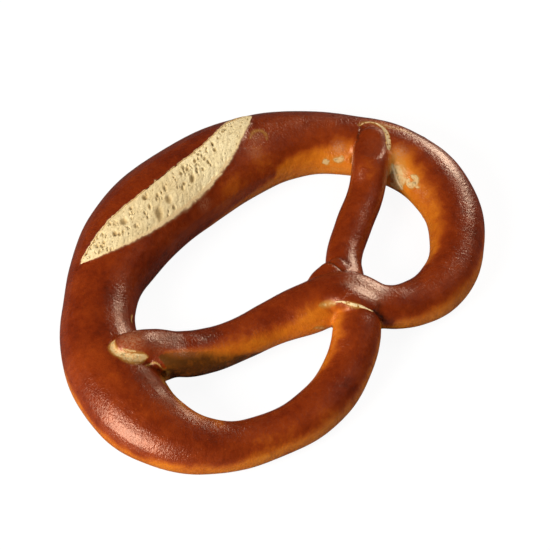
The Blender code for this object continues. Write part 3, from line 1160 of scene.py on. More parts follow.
@dataclass(frozen=True)
class Flat:
    """A place where the soft dough was pressed to a sloping flat, in millimetres."""

    centre: Point
    slopes: tuple[float, float]
    radius: float
    softness: float = 0.7

    def sunk(self, points: np.ndarray) -> np.ndarray:
        """How far each point sinks.

        Args:
            points: places in metres.

        Returns:
            Millimetres down for each point.
        """
        gap = points[:, :2] / MM - np.array(self.centre[:2])
        over = points[:, 2] / MM - self.centre[2] - gap @ np.array(self.slopes)
        return self.softness * np.logaddexp(0.0, over / self.softness) * self.share(points)

    def share(self, points: np.ndarray) -> np.ndarray:
        """How much each point belongs to the flat, 0 outside to 1 in its middle."""
        gap = np.linalg.norm(points[:, :2] / MM - np.array(self.centre[:2]), axis=1)
        return ease(1.6 * (1.0 - gap / self.radius))


@dataclass(frozen=True)
class PaleSeam:
    """A pale seam along a path, in millimetres: mostly cream dough that shows through the crust, in two
    places a painted highlight.
    """

    path: tuple[Point, ...]
    half_width: float
    lift: float = 0.0
    strength: float = 1.0

    def reach(self, place: np.ndarray) -> np.ndarray:
        """Half-width in millimetres at a share of the way along the path; it narrows to both ends."""
        return self.half_width * (0.25 + 0.75 * np.sqrt(np.clip(4.0 * place * (1.0 - place), 0.0, 1.0)))


@dataclass(frozen=True)
class Crease:
    """A pinched line in the crust where dough meets dough, darkened with painted shade, in millimetres."""

    path: tuple[Point, ...]
    depth: float
    width: float
    painted_shade: float


@dataclass(frozen=True)
class ShadowedFlank:
    """Painted shadow, olive-brown, on the flank under the over arm, in millimetres."""

    # Upper edge of the painted shadow, along the arm
    edge: tuple[Point, ...] = (
        (95.0, 8.0, 31.0), (91.1, 9.8, 30.6), (84.0, 14.1, 27.8), (77.2, 18.8, 24.9), (70.2, 23.4, 21.7),
        (64.7, 27.1, 19.2), (57.0, 30.7, 16.5), (49.1, 34.0, 13.5), (42.0, 37.0, 9.0))
    # Directions in the plan along the arm and away from it
    along: tuple[float, float] = (0.77, -0.64)
    away: tuple[float, float] = (0.64, 0.77)
    # Where it ends towards the arm's tip, across
    end: float = 94.0
    # How far it reaches behind the edge and away from it, and over what distance it fades there
    behind: float = 2.0
    reach: float = 9.0
    fade: float = 3.0
    # Over what height it sets in below the edge, and how far it has set in there
    onset: float = 4.0
    start: float = 0.30

    def share(self, points: np.ndarray) -> np.ndarray:
        """How much painted shadow each point gets.

        Args:
            points: places in metres.

        Returns:
            A share from 0 to 1 for each point.
        """
        line = smooth_line(np.array(self.edge), 0.6)
        share = np.zeros(len(points))
        low, high = line[:, :2].min(axis=0) - 6.0, line[:, :2].max(axis=0) + 12.0
        box = np.all((points[:, :2] / MM > low) & (points[:, :2] / MM < high), axis=1)
        part = points[box] / MM
        gap = part[:, None, :2] - line[None, :, :2]
        slide = np.abs(gap @ np.array(self.along))
        nearest = slide.argmin(axis=1)
        rows = np.arange(len(part))
        beyond = (gap @ np.array(self.away))[rows, nearest]
        below = line[nearest, 2] - part[:, 2]
        held = (slide[rows, nearest] < 1.5) & (part[:, 0] < self.end) & (below > -self.behind)
        held &= (beyond > -self.behind) & (beyond < self.reach)
        share[box] = held * ease(below / self.onset + self.start) * ease((self.reach - beyond) / self.fade)
        return share


@dataclass(frozen=True)
class BakeLevels:
    """Stages of baking of the bare crust, from 0 for the palest to 1 for the darkest."""

    # The flank below the wash, and how much paler it gets at most, over what depth in millimetres
    flank: float = 0.31
    flank_loss: float = 0.18
    flank_depth: float = 14.0
    # How much paler the foot is, and how high it reaches in millimetres
    foot_loss: float = 0.14
    foot_height: float = 5.0
    # The crown, and how much darker it is where it faces up
    crown: float = 0.70
    upward: float = 0.05
    underside: float = 0.42

    def stage(self, height: np.ndarray, edge: np.ndarray, washed: np.ndarray,
              facing: np.ndarray) -> np.ndarray:
        """Stage of baking of each point.

        Args:
            height: height in millimetres.
            edge: height of the wash's edge there.
            washed: share of wash.
            facing: upward part of the surface's direction.

        Returns:
            One number for each point.
        """
        below = np.clip((edge - height) / self.flank_depth, 0.0, 1.0)
        golden = self.flank - self.flank_loss * below - self.foot_loss * ease(1.0 - height / self.foot_height)
        return golden * (1.0 - washed) + (self.crown + self.upward * facing) * washed


@dataclass
class Crust:
    """The loaf's baked skin: one closed surface over the fused rope."""

    rope: Rope = field(default_factory=Rope)
    split: Split = field(default_factory=Split)
    wash: LyeWash = field(default_factory=LyeWash)
    # Width of the cells in which the strands are fused, in millimetres
    grid: float = 0.8
    smoothing: int = 14
    most_triangles: int = 188000
    blister_seed: int = 5
    blisters: int = 90
    # Least and greatest radius and height of a blister, in millimetres
    blister_radius: tuple[float, float] = (1.2, 2.6)
    blister_height: tuple[float, float] = (0.08, 0.22)
    # Height at which lumps set in above the table, and over what height they grow
    lump_onset: tuple[float, float] = (0.5, 4.0)
    # Height above which dough counts as the loaf's upper side
    top: float = 20.0
    # Slight lumps of hand-rolled dough
    lumps: tuple[Layer, ...] = ((0.36, 30.0, 0.0), (0.06, 10.0, 4.0), (0.03, 3.4, 8.0))
    flats: tuple[Flat, ...] = (
        Flat((-13.5, 63.5, 29.3), (0.34, -0.26), 22.0, 1.2), Flat((84.5, 6.5, 29.6), (0.33, -0.27), 17.0),
        Flat((-106.5, -2.0, 29.6), (-0.03, -0.06), 16.0, 1.8))
    # Rounds of smoothing on the flats, and in how many steps it fades out round them
    stroking: int = 45
    fade_steps: int = 4
    seams: tuple[PaleSeam, ...] = (
        PaleSeam(((101.5, -17.4, 31.6), (105.2, -15.4, 31.9), (107.3, -11.5, 32.2), (107.3, -7.2, 32.2)),
                 1.8, lift=0.3, strength=0.95),
        PaleSeam(((107.3, -9.5, 32.0), (105.4, -3.2, 31.5), (102.4, 0.7, 31.0), (98.9, 3.9, 30.2)),
                 2.5, lift=0.35, strength=0.92),
        PaleSeam(((107.0, -9.0, 32.8), (105.0, -4.6, 32.6), (102.2, -0.9, 32.2), (99.2, 2.4, 31.6)),
                 0.6, lift=0.25, strength=1.35),
        PaleSeam(((104.6, -9.0, 34.0), (102.9, -4.6, 34.0), (100.8, -1.6, 33.6)),
                 0.45, lift=0.3, strength=0.9),
        PaleSeam(((102.6, 5.0, 28.3), (98.9, 5.0, 25.8), (96.8, 6.8, 26.8), (96.0, 8.9, 26.0),
                  (95.1, 10.7, 23.1)), 0.4, lift=0.15, strength=0.8),
        PaleSeam(((94.8, 10.2, 23.2), (93.9, 12.2, 17.9), (95.1, 13.0, 14.4), (100.1, 19.2, 19.3),
                  (103.6, 23.8, 22.2)), 2.2, strength=0.46),
        PaleSeam(((103.6, 23.8, 22.2), (105.2, 29.5, 22.5), (108.3, 37.8, 23.9)), 1.2, strength=0.42),
        PaleSeam(((95.1, 13.0, 14.4), (98.2, 17.2, 17.6), (100.6, 20.2, 19.6)),
                 0.7, lift=0.1, strength=1.1),
        PaleSeam(((-107.5, 14.8, 21.5), (-105.0, 18.5, 17.5), (-104.0, 22.0, 14.0), (-103.2, 26.0, 11.4)),
                 2.6, lift=0.25, strength=1.25),
        PaleSeam(((-109.5, 17.5, 20.5), (-107.5, 21.5, 18.5), (-105.0, 26.5, 15.0)),
                 3.4, lift=0.15, strength=0.7),
        PaleSeam(((-103.9, 17.4, 10.5), (-103.8, 20.5, 9.0), (-103.4, 23.0, 8.5)),
                 2.6, lift=0.2, strength=1.05),
        PaleSeam(((-107.4, 28.6, 20.9), (-107.6, 31.8, 21.2), (-105.9, 33.4, 19.8), (-104.0, 31.8, 17.4),
                  (-104.2, 28.8, 17.4), (-106.0, 27.6, 19.4)), 1.5, lift=0.5, strength=1.2),
        PaleSeam(((-104.0, 35.0, 18.0), (-105.0, 37.8, 19.6)), 1.0, lift=0.2, strength=0.9),
        PaleSeam(((-61.6, -56.6, 34.3), (-65.2, -58.8, 34.3), (-68.9, -58.7, 34.0), (-71.2, -56.5, 33.6),
                  (-71.0, -52.8, 33.2), (-68.0, -49.0, 32.6)), 1.1, lift=0.35, strength=0.42),
        PaleSeam(((-108.9, 12.0, 25.0), (-105.5, 14.4, 23.0), (-101.5, 16.6, 19.8), (-95.0, 19.2, 19.0)),
                 2.0, strength=0.36),
        PaleSeam(((-122.9, -16.9, 26.3), (-125.6, -11.1, 26.3), (-128.0, -4.8, 26.4), (-130.4, 0.6, 25.8),
                  (-132.3, 5.0, 25.1), (-133.4, 11.0, 24.6)), 1.8, strength=0.44),
        PaleSeam(((-116.0, -17.5, 27.0), (-120.6, -17.2, 26.5), (-123.6, -15.2, 26.2)),
                 1.2, strength=0.44),
        # The next two seams are painted highlights: pale glints on the flank beside the under arm
        PaleSeam(((-87.6, -21.6, 15.2), (-90.6, -19.8, 16.2)), 1.9, lift=0.5, strength=1.12),
        PaleSeam(((-92.4, -17.6, 17.4), (-94.4, -14.6, 17.2), (-96.6, -13.4, 19.4)),
                 1.6, lift=0.4, strength=0.95),
        PaleSeam(((17.2, 52.8, 15.1), (14.3, 54.8, 14.8), (10.9, 56.5, 11.9), (8.9, 58.4, 11.5)),
                 1.3, lift=0.2, strength=0.62),
        PaleSeam(((0.8, 62.1, 29.1), (-0.5, 65.8, 28.6), (-2.6, 69.7, 27.8)),
                 1.3, lift=0.15, strength=0.6),
        PaleSeam(((8.6, 50.0, 24.9), (7.0, 51.6, 25.0), (5.0, 54.0, 25.8), (3.2, 57.4, 27.0)),
                 1.7, lift=0.15, strength=0.58),
        PaleSeam(((98.3, 12.6, 20.9), (100.1, 15.4, 21.9), (102.4, 19.2, 23.4)), 2.0, strength=0.4),
        PaleSeam(((74.6, -29.6, 18.8), (78.0, -27.2, 20.3), (80.5, -24.0, 21.0)), 0.45, lift=0.2),
        PaleSeam(((-58.1, -38.5, 7.1), (-56.0, -40.2, 5.5)), 0.6, lift=0.2))
    # Where the shadow on the flank under the over arm is painted
    flank: ShadowedFlank = ShadowedFlank()
    bake: BakeLevels = BakeLevels()
    # How pale the inner lip's rim is, and over what width
    rim_share: float = 0.22
    rim_width: float = 0.9
    # Places made darker or paler: uneven browning, and in some places painted shade, as on the inner belly
    # and beside the over arm's tip
    browning_and_shade: tuple[Patch, ...] = (
        (44.8, -43.0, 19.9, 24.0, 0.14), (-15.0, -83.5, 36.0, 24.0, 0.1), (60.0, -80.0, 30.0, 18.0, 0.06),
        (-57.0, -44.0, 29.0, 20.0, -0.22), (-88.0, -47.8, 31.0, 20.0, -0.07),
        (-82.0, -36.0, 26.0, 11.0, 0.06), (64.0, 19.0, 24.0, 14.0, 0.15),
        (-103.0, -29.0, 28.0, 14.0, -0.16), (-33.0, -45.4, 26.0, 17.0, -0.2),
        (-18.4, -44.0, 20.5, 15.0, -0.14), (6.8, -45.5, 19.0, 12.0, -0.08),
        (22.9, -83.8, 36.4, 18.0, -0.04), (41.0, 93.0, 17.0, 12.0, 0.1), (25.0, 87.0, 19.0, 13.0, 0.07),
        (-92.5, 87.7, 17.4, 16.0, 0.12), (27.6, 30.7, 22.0, 18.0, 0.08), (80.0, -43.0, 29.0, 18.0, 0.15),
        (98.8, -26.6, 30.2, 12.0, 0.05), (79.0, 2.0, 29.5, 12.0, 0.06), (118.0, -24.0, 29.0, 20.0, -0.08),
        (107.0, 8.0, 30.0, 13.0, 0.14), (125.0, -2.0, 31.0, 20.0, -0.06), (95.9, 79.2, 17.8, 15.0, -0.17),
        (82.0, 86.0, 16.0, 12.0, -0.15), (61.0, 94.0, 16.5, 13.0, -0.16), (-92.0, 6.5, 28.4, 15.0, -0.19),
        (-82.0, 13.5, 24.0, 10.0, -0.08), (98.0, -8.0, 36.0, 12.0, -0.1), (-64.5, -55.5, 34.0, 7.0, -0.05),
        (-56.5, -50.0, 31.5, 8.0, -0.04), (-97.7, -18.0, 22.9, 6.0, -0.05),
        (-115.5, 14.0, 25.0, 8.0, -0.05), (-78.0, 70.6, 18.7, 20.0, 0.04),
        (-127.5, -9.0, 25.0, 11.0, -0.26), (-132.0, 2.0, 24.0, 9.0, -0.24),
        (-122.5, -17.5, 24.0, 8.0, -0.2), (-111.0, 15.0, 24.0, 13.0, -0.27),
        (-108.0, 26.0, 20.0, 16.0, -0.12), (96.0, 14.0, 17.0, 8.0, -0.2), (104.0, 26.0, 22.0, 10.0, -0.08),
        (80.5, -27.0, 23.5, 14.0, 0.06), (-97.0, 50.0, 18.0, 18.0, 0.05), (96.0, 7.5, 27.0, 6.0, 0.18),
        (-128.0, 58.0, 20.0, 24.0, 0.05))
    # Places with a pale bloom; at the crossing and beside the under arm it is a painted highlight
    floury_and_sheen: tuple[Patch, ...] = (
        (98.0, -8.0, 36.0, 12.0, 0.7), (88.0, 3.0, 33.0, 11.0, 0.3), (-64.5, -55.5, 34.0, 7.0, 0.4),
        (-56.5, -50.0, 31.5, 8.0, 0.3), (-8.8, -47.6, 27.0, 7.0, 0.4), (-97.7, -18.0, 22.9, 6.0, 0.8),
        (-115.5, 14.0, 25.0, 8.0, 0.7), (-14.0, 56.0, 28.3, 9.0, 0.35), (-16.0, 68.0, 27.0, 11.0, 0.55))
    # Places that lost their gloss
    matt: tuple[Patch, ...] = (
        (79.0, 2.0, 29.5, 12.0, 1.0), (104.0, 26.0, 22.0, 10.0, 0.5), (107.0, 14.0, 29.0, 18.0, 1.6),
        (113.5, 31.0, 28.0, 19.0, 1.4), (80.5, -27.0, 23.5, 14.0, 1.4), (103.0, 52.0, 22.0, 24.0, 0.7),
        (-113.5, 1.0, 28.0, 15.0, 1.5), (7.0, 51.5, 25.5, 12.0, 1.6), (2.8, 60.5, 25.5, 8.0, 1.6),
        (-117.0, 55.0, 24.0, 16.0, 0.8), (-92.0, -34.0, 29.0, 34.0, 0.9), (-10.0, -48.0, 25.0, 34.0, 0.7),
        (-90.0, 82.0, 21.0, 26.0, 0.85), (-128.0, 58.0, 20.0, 24.0, 0.25), (-66.0, 93.0, 17.0, 22.0, 0.8))
    creases: tuple[Crease, ...] = (
        Crease(((-21.8, 33.5, 19.8), (-21.0, 37.0, 21.6), (-20.9, 41.9, 23.9), (-21.5, 45.6, 25.2)),
               depth=0.6, width=0.6, painted_shade=0.75),
        Crease(((-7.6, 75.5, 24.4), (-9.0, 78.4, 21.6), (-9.9, 80.8, 18.0)),
               depth=0.8, width=0.8, painted_shade=0.9),
        Crease(((-116.9, -15.3, 27.8), (-111.0, -13.5, 29.0), (-105.6, -11.3, 29.0), (-101.2, -10.0, 23.5),
                (-98.0, -8.0, 16.7)), depth=0.6, width=0.9, painted_shade=0.6))

    def fuse(self) -> Object:
        """Prove the rope into one loaf: fuse its strands, round the corners and lay it on the table.

        Returns:
            The loaf, closed and centred on the CAD part.
        """
        loaf = self.rope.build()
        loaf.name = "pretzel_crust"
        finish_with(loaf, "REMESH", mode="VOXEL", voxel_size=self.grid * MM)
        points = read_points(loaf.data)
        for flat in self.flats:
            points[:, 2] -= flat.sunk(points) * MM
        write_points(loaf.data, points)
        finish_with(loaf, "SMOOTH", factor=0.5, iterations=self.smoothing)
        pressed = loaf.vertex_groups.new(name="pressed")
        for flat in self.flats:
            points = read_points(loaf.data)
            share = flat.share(points) * (points[:, 2] > self.top * MM)
            for step in range(1, self.fade_steps + 1):
                near = np.nonzero(share > step / (self.fade_steps + 1))[0]
                pressed.add(near.tolist(), step / self.fade_steps, "REPLACE")
        finish_with(loaf, "SMOOTH", factor=0.5, iterations=self.stroking, vertex_group=pressed.name)
        points = read_points(loaf.data)
        points[:, 2] = np.maximum(points[:, 2], 0.0)
        low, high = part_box("pretzel")
        middle = [(low[axis] + high[axis]) / 2 for axis in range(2)]
        for axis in range(2):
            points[:, axis] += middle[axis] - (points[:, axis].min() + points[:, axis].max()) / 2
        write_points(loaf.data, points)
        return loaf

    def knead(self, mesh: Mesh) -> None:
        """Give the skin the slight lumps and blisters of hand-rolled dough.

        Args:
            mesh: the loaf's mesh.
        """
        points, normals = read_points(mesh), read_normals(mesh)
        lift = layered(points, self.lumps)
        dice = np.random.RandomState(self.blister_seed)
        for _ in range(self.blisters):
            centre = points[dice.randint(len(points))]
            radius = dice.uniform(*self.blister_radius) * MM
            height = dice.uniform(*self.blister_height)
            near = np.linalg.norm(points - centre, axis=1) / radius
            lift = np.where(near < 1.0, np.maximum(lift, lift + height * ease(1.0 - near)), lift)
        lift *= ease((points[:, 2] / MM - self.lump_onset[0]) / self.lump_onset[1])
        write_points(mesh, points + normals * (lift * MM)[:, None])

    def near_path(self, points: np.ndarray, path: tuple[Point, ...], skin: BVHTree,
                  margin: float = 8.0) -> tuple[np.ndarray, np.ndarray]:
        """Distance of each point from a path that is laid on the skin.

        Args:
            points: places in metres.
            path: the path in millimetres.
            skin: search tree over the loaf.
            margin: distance in millimetres from which points count as far away.

        Returns:
            Distance in millimetres for each point, and the nearest place along the path from 0 to 1.
        """
        path_rows = smooth_line(np.array(path), 0.4)
        line = np.array([skin.find_nearest(Vector(row) * MM)[0] for row in path_rows]) / MM
        gap, place = np.full(len(points), FAR), np.zeros(len(points))
        low, high = line.min(axis=0) - margin, line.max(axis=0) + margin
        box = np.all((points / MM > low) & (points / MM < high), axis=1)
        away = np.linalg.norm((points[box] / MM)[:, None, :] - line[None], axis=2)
        gap[box], place[box] = away.min(axis=1), away.argmin(axis=1) / (len(line) - 1.0)
        return gap, place

    def pinch(self, mesh: Mesh, skin: BVHTree) -> None:
        """Press the creases in and let the pale seams swell.

        Args:
            mesh: the loaf's mesh.
            skin: search tree over the loaf.
        """
        points, normals = read_points(mesh), read_normals(mesh)
        fall = np.zeros(len(points))
        for seam in self.seams:
            gap, place = self.near_path(points, seam.path, skin)
            fall -= seam.lift * ease(1.25 - gap / seam.reach(place))
        for shaded_crease in self.creases:
            line = np.exp(-((self.near_path(points, shaded_crease.path, skin)[0] / shaded_crease.width) ** 2))
            fall = np.maximum(fall, shaded_crease.depth * line)
        write_points(mesh, points - normals * (fall * MM)[:, None])

    def thin(self, loaf: Object) -> None:
        """Bring the loaf to its number of triangles.

        Args:
            loaf: the loaf.
        """
        loaf.data.calc_loop_triangles()
        share = self.most_triangles / len(loaf.data.loop_triangles)
        if share < 1.0:
            finish_with(loaf, "DECIMATE", ratio=share, use_collapse_triangulate=True)

    def mark(self, mesh: Mesh, skin: BVHTree) -> None:
        """Store how each place has baked, with its pale seams and the painted shade, shadow and highlights,
        for the material.

        Args:
            mesh: the finished crust's mesh.
            skin: search tree over the loaf.
        """
        points, normals = read_points(mesh), read_normals(mesh)
        edge, washed = self.wash.height(points), self.wash.washed(points)
        bake = self.bake.stage(points[:, 2] / MM, edge, washed, normals[:, 2])
        # Darker and paler patches; some of them are painted shade
        bake += sum(patch_shares(points, self.browning_and_shade))
        under = ease((-normals[:, 2] - 0.6) / 0.3)
        bake = bake * (1.0 - under) + self.bake.underside * under
        write_mask(mesh, "bake", np.clip(bake, 0.0, 1.0))
        # Pale bloom, and painted highlight at the crossing and beside the under arm
        write_mask(mesh, "bloom_and_sheen", np.maximum.reduce(patch_shares(points, self.floury_and_sheen)))
        write_mask(mesh, "dull", np.maximum.reduce(patch_shares(points, self.matt)))
        inside, bow = self.split.inside(points)
        share = np.where(points[:, 1] > self.split.ridge * MM, self.rim_share, 0.0)
        rim = share * ease(1.0 + inside / self.rim_width)
        lip = np.where(inside > 0.0, 1.0, rim) * np.minimum(bow * 3.0, 1.0)
        write_mask(mesh, "lip", lip * (points[:, 2] > self.top * MM))
        # Painted shade along the creases
        crease_shade = np.zeros(len(points))
        for shaded_crease in self.creases:
            line = np.exp(-((self.near_path(points, shaded_crease.path, skin)[0] / (shaded_crease.width * 0.9)) ** 2))
            crease_shade = np.maximum(crease_shade, shaded_crease.painted_shade * line)
        write_mask(mesh, "shaded_crease", crease_shade)
        # Cream dough along the seams, and two painted glints
        cream_and_glint = np.zeros(len(points))
        for seam in self.seams:
            gap, place = self.near_path(points, seam.path, skin)
            cream_and_glint = np.maximum(cream_and_glint, seam.strength * np.clip(1.0 - 0.5 * gap / seam.reach(place), 0.0, 1.0))
        write_mask(mesh, "cream_and_glint", cream_and_glint)
        # Painted shadow on the flank under the over arm
        write_mask(mesh, "painted_shadow", self.flank.share(points))
        write_mask(mesh, "rope", self.rope.coordinates(points) * np.array([1.0, 0.3, 1.0]))

    def build(self) -> tuple[Object, BVHTree]:
        """Build the crust with its slash cut open.

        Returns:
            The crust, and a search tree over it as it was before the slash.
        """
        loaf = self.fuse()
        self.knead(loaf.data)
        self.pinch(loaf.data, surface_tree(loaf))
        whole = surface_tree(loaf)
        self.split.raise_lips(loaf.data)
        self.thin(loaf)
        block = self.split.cutter(whole)
        finish_with(loaf, "BOOLEAN", operation="DIFFERENCE", solver="MANIFOLD", object=block)
        bpy.data.objects.remove(block, do_unlink=True)
        self.mark(loaf.data, whole)
        take(loaf)
        bpy.ops.object.shade_smooth_by_angle(angle=math.radians(50.0))
        return loaf, whole


@dataclass
class TornSkin:
    """Cream dough that shows where the crust tore: a ragged strip that dips into the crust at its edges."""

    name: str
    path: tuple[Point, ...]
    half_widths: tuple[float, ...]
    swell: float = 0.45
    sink: float = 0.12
    ragged: float = 0.14
    spacing: float = 0.28
    thickness: float = 1.2
    toast: float = 0.1
    seed: float = 0.0
    # The strip's true half-width over the one it shows, as its edges lie under the crust
    overhang: float = 1.3
    edge_sink: float = 0.6
    # Sway beyond which the edge is tucked under the crust
    tuck: float = 0.97
    pore_size: float = 1.3
    pore_depth: float = 0.40
    # How steeply the pores' walls fall, and how low the noise has to be where they start
    pore_slope: float = 2.4
    pore_start: float = 0.60
    # Least and greatest length over which the strip's ends round off
    rounding: tuple[float, float] = (0.5, 1.5)

    def lay(self, crust: BVHTree, line: np.ndarray, row: np.ndarray,
            sway: np.ndarray) -> tuple[np.ndarray, np.ndarray]:
        """Lay the strip's points on the crust, side by side across the path.

        Args:
            crust: search tree over the crust.
            line: the path's rows of place and half-width in millimetres.
            row: the path's row that each point belongs to.
            sway: how far across each point lies, from -1 to 1.

        Returns:
            The points' places and the crust's normals there.
        """
        tangent = np.gradient(line[:, :3], axis=0)
        middles = []
        for index in range(len(line)):
            spot, normal, _, _ = crust.find_nearest(Vector(line[index, :3]) * MM)
            middles.append((spot, Vector(normal).cross(Vector(tangent[index])).normalized()))
        places, normals = np.empty((len(row), 3)), np.empty((len(row), 3))
        for index, (step, across) in enumerate(zip(row, sway)):
            spot, side = middles[step]
            wanted = spot + side * float(across * self.overhang * line[step, 3]) * MM
            places[index], normals[index], _, _ = crust.find_nearest(wanted)
        return places, normals

    def build(self, crust: BVHTree) -> Object:
        """Build the strip.

        Args:
            crust: search tree over the crust.

        Returns:
            The strip as a closed shell.
        """
        line = smooth_line(np.column_stack([np.array(self.path), np.array(self.half_widths)]), self.spacing)
        steps = (len(line) - 1, max(int(2.0 * self.overhang * max(self.half_widths) / self.spacing), 6))
        strip, flat = flat_grid(self.name, steps)
        row = np.rint((flat[:, 0] + 0.5) * steps[0]).astype(int)
        sway = flat[:, 1] * 2.0
        places, normals = self.lay(crust, line, row, sway)
        rounding = np.clip(line[len(line) // 2, 3], *self.rounding)
        ends = ease(np.minimum(row, steps[0] - row) * self.spacing / rounding)
        shape = np.clip(1.0 - (sway * self.overhang) ** 2, -0.7, 1.0) * ends
        rough = layered(places, ((self.ragged, 1.5, self.seed), (0.5 * self.ragged, 0.7, self.seed + 4.0)))
        holes = -grain(places, self.pore_size, self.seed + 9.0)
        pores = np.clip(holes * self.pore_slope - self.pore_start, 0.0, 1.0)
        height = self.swell * shape - self.sink + rough - 0.5 * (1.0 - ends)
        height -= self.pore_depth * pores * (shape > 0.2)
        height[np.abs(sway) > self.tuck] = -self.edge_sink
        write_points(strip.data, places + normals * (height * MM)[:, None])
        # Depth of the pores, which carries their painted shade
        write_mask(strip.data, "pore_shade", pores * 0.8)
        rim = ease((np.abs(sway * self.overhang) - 0.45) / 0.45) + ease(1.0 - (height + 0.05) / 0.20)
        write_mask(strip.data, "toast", np.clip(self.toast + rim, 0.0, 1.0))
        close_sheet(strip, self.thickness)
        return strip


def torn_places() -> list[TornSkin]:
    """Every place where the crust tore open at a join.

    Returns:
        The strips, not yet built.
    """
    return [
        TornSkin("tear_under_tip",
                 ((-117.4, -16.8, 27.1), (-120.6, -16.5, 26.7), (-124.0, -14.5, 26.1), (-125.7, -11.2, 26.0),
                  (-125.0, -6.2, 26.7), (-122.9, -1.7, 27.2), (-118.9, 3.1, 27.8), (-115.1, 6.7, 27.1),
                  (-111.1, 8.9, 26.5)),
                 (0.4, 0.7, 0.9, 1.0, 1.3, 1.7, 2.4, 2.6, 1.4), swell=0.3, seed=1.0),
        TornSkin("tear_crossing",
                 ((3.4, 56.0, 27.4), (2.2, 58.6, 28.6), (0.7, 62.1, 29.1), (-0.8, 65.8, 28.8),
                  (-3.0, 69.7, 28.1), (-5.1, 73.6, 26.4), (-7.0, 76.4, 24.1)),
                 (0.25, 0.55, 0.95, 1.3, 1.0, 0.5, 0.25), swell=0.38, toast=0.0, seed=5.0),
    ]


# ---------------------------------------------------------------- studio


@dataclass(frozen=True)
class SoftLight:
    """A soft box that looks at the pretzel."""

    name: str
    bearing: float
    elevation: float
    size: tuple[float, float]
    power: float
    mirrored: bool = True
    spreads: bool = True
    colour: Colour = WHITE


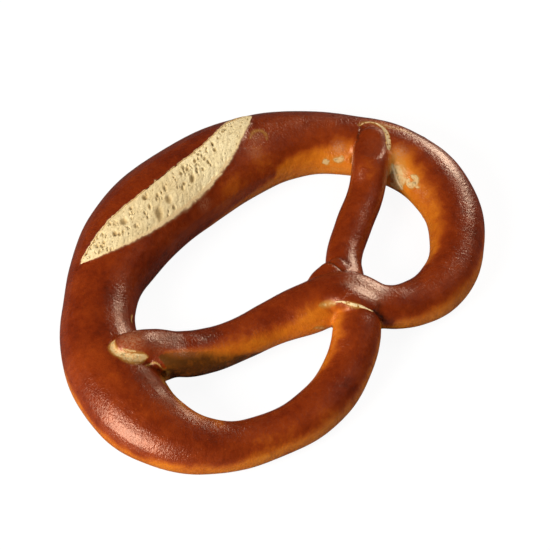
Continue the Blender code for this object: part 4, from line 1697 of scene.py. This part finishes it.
@dataclass
class Studio:
    """White floor, soft boxes and the camera of the photograph."""

    camera_place: Point = (0.5055, 0.4187, 0.7604)
    camera_aim: Point = (-0.0103, 0.0034, 0.0)
    # Width of the picture and focal length, both in pixels, and the sensor's width in millimetres
    picture: float = 550.0
    focal_pixels: float = 1740.0
    sensor: float = 36.0
    floor_size: float = 8.0
    floor_drop: float = 0.0002
    # Direction of the camera's view in the plan
    view_bearing: tuple[float, float] = (-0.777, -0.629)
    # Strength of the room's light, and of what the crust mirrors of it
    sky: float = 0.10
    sky_mirrored: float = 0.02
    # How bright the floor is for the light, in mirrored rays and for the camera, and its own glow there
    floor_white: float = 0.75
    floor_mirrored: float = 0.08
    floor_seen: float = 0.10
    floor_glow: float = 0.93
    floor_roughness: float = 0.9
    floor_specular: float = 0.1
    # Distance of every soft box from the pretzel, in metres
    light_distance: float = 1.4
    lights: tuple[SoftLight, ...] = (
        SoftLight("soft_back", 33.0, 21.0, (0.36, 0.38), 7.2, colour=(1.0, 0.79, 0.60)),
        SoftLight("soft_rim", 28.0, 9.0, (0.50, 0.34), 4.8, spreads=False, colour=(1.0, 0.76, 0.57)),
        SoftLight("soft_side", 60.0, 46.0, (0.90, 0.90), 6.3, mirrored=False),
        SoftLight("soft_front", -131.0, 28.0, (0.62, 0.60), 27.0, mirrored=False,
                  colour=(1.0, 0.97, 0.93)),
        SoftLight("soft_front_sheen", -130.0, 25.0, (1.05, 1.00), 56.0, spreads=False,
                  colour=(1.0, 0.78, 0.60)),
    )

    def direction(self, bearing: float, elevation: float) -> Vector:
        """Direction to a light in the part's frame.

        Args:
            bearing: degrees to the right of the camera's view.
            elevation: degrees above the table.

        Returns:
            A unit vector.
        """
        away = Vector((*self.view_bearing, 0.0))
        right = Vector((away.y, -away.x, 0.0))
        turn, lift = math.radians(bearing), math.radians(elevation)
        flat = away * math.cos(turn) + right * math.sin(turn)
        return flat * math.cos(lift) + Vector((0.0, 0.0, math.sin(lift)))

    def add_floor(self) -> Object:
        """Lay the white floor.

        Returns:
            The floor.
        """
        deselect()
        bpy.ops.mesh.primitive_plane_add(size=self.floor_size, location=(0.0, 0.0, -self.floor_drop))
        floor = bpy.context.object
        floor.name = "studio_floor"
        made, table, shader = new_material("studio_white")
        path = table.node("ShaderNodeLightPath").outputs
        levels = (self.floor_white, self.floor_mirrored, self.floor_seen)
        white, mirrored, seen = [(level, level, level) for level in levels]
        grey = table.mix(path["Is Glossy Ray"], white, mirrored)
        table.fill(shader, Base_Color=table.mix(path["Is Camera Ray"], grey, seen), Emission_Color=WHITE,
                   Emission_Strength=table.times(path["Is Camera Ray"], self.floor_glow),
                   Roughness=self.floor_roughness, Specular_IOR_Level=self.floor_specular)
        floor.data.materials.append(made)
        return floor

    def add_lights(self) -> None:
        """Set up the soft boxes and the even light of the room."""
        for light in self.lights:
            aim = self.direction(light.bearing, light.elevation)
            deselect()
            bpy.ops.object.light_add(type="AREA", location=aim * self.light_distance)
            lamp = bpy.context.object
            lamp.name = light.name
            lamp.rotation_euler = aim.to_track_quat("Z", "Y").to_euler()
            lamp.data.shape = "RECTANGLE"
            lamp.data.size, lamp.data.size_y = light.size
            lamp.data.energy = light.power
            lamp.data.color = light.colour
            lamp.visible_glossy = light.mirrored
            lamp.visible_diffuse = light.spreads
        world = bpy.data.worlds.new("studio_room")
        world.use_nodes = True
        table = NodeTable(world.node_tree)
        path = table.node("ShaderNodeLightPath").outputs
        room = table.span(path["Is Glossy Ray"], 0.0, 1.0, self.sky, self.sky_mirrored)
        table.fill(world.node_tree.nodes["Background"], Color=WHITE,
                   Strength=table.math("MAXIMUM", room, path["Is Camera Ray"]))
        bpy.context.scene.world = world

    def add_camera(self) -> None:
        """Place the camera at the photograph's angle."""
        place, aim = Vector(self.camera_place), Vector(self.camera_aim)
        deselect()
        bpy.ops.object.camera_add(location=place)
        camera = bpy.context.object
        camera.rotation_euler = (place - aim).to_track_quat("Z", "Y").to_euler()
        camera.data.sensor_width = self.sensor
        camera.data.lens = self.sensor * self.focal_pixels / self.picture
        bpy.context.scene.camera = camera

    def build(self) -> Object:
        """Set the studio up.

        Returns:
            The floor.
        """
        self.add_lights()
        self.add_camera()
        bpy.context.scene.view_settings.view_transform = "Standard"
        return self.add_floor()


# ---------------------------------------------------------------- assembly


def show(piece: Object, material: Material) -> None:
    """Dress a piece and place it in the frame.

    Args:
        piece: the finished piece.
        material: what it is made of.
    """
    piece.data.materials.clear()
    piece.data.materials.append(material)
    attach(piece, "root")
    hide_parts("pretzel")
    piece.data.calc_loop_triangles()
    log.info("%s: %d triangles", piece.name, len(piece.data.loop_triangles))


def main() -> None:
    """Build the pretzel and its studio."""
    logging.basicConfig(level=logging.INFO, format="%(name)s: %(message)s")
    mottle, skin, crumb = mottle_group(), skin_group(), crumb_group()
    crust_material = CrustFinish().material(mottle, skin)
    crumb_material = CrumbFinish().material(crumb)
    torn_dough = CrumbFinish("torn_dough", (0.86, 0.69, 0.41), (0.36, 0.26, 0.10), (0.64, 0.33, 0.08))
    torn_material = torn_dough.material(crumb)

    crust = Crust()
    loaf, whole = crust.build()
    show(loaf, crust_material)
    show(crust.split.crumb(whole), crumb_material)
    for tear in torn_places():
        show(tear.build(whole), torn_material)
    Studio().build()


if __name__ == "__main__":
    main()
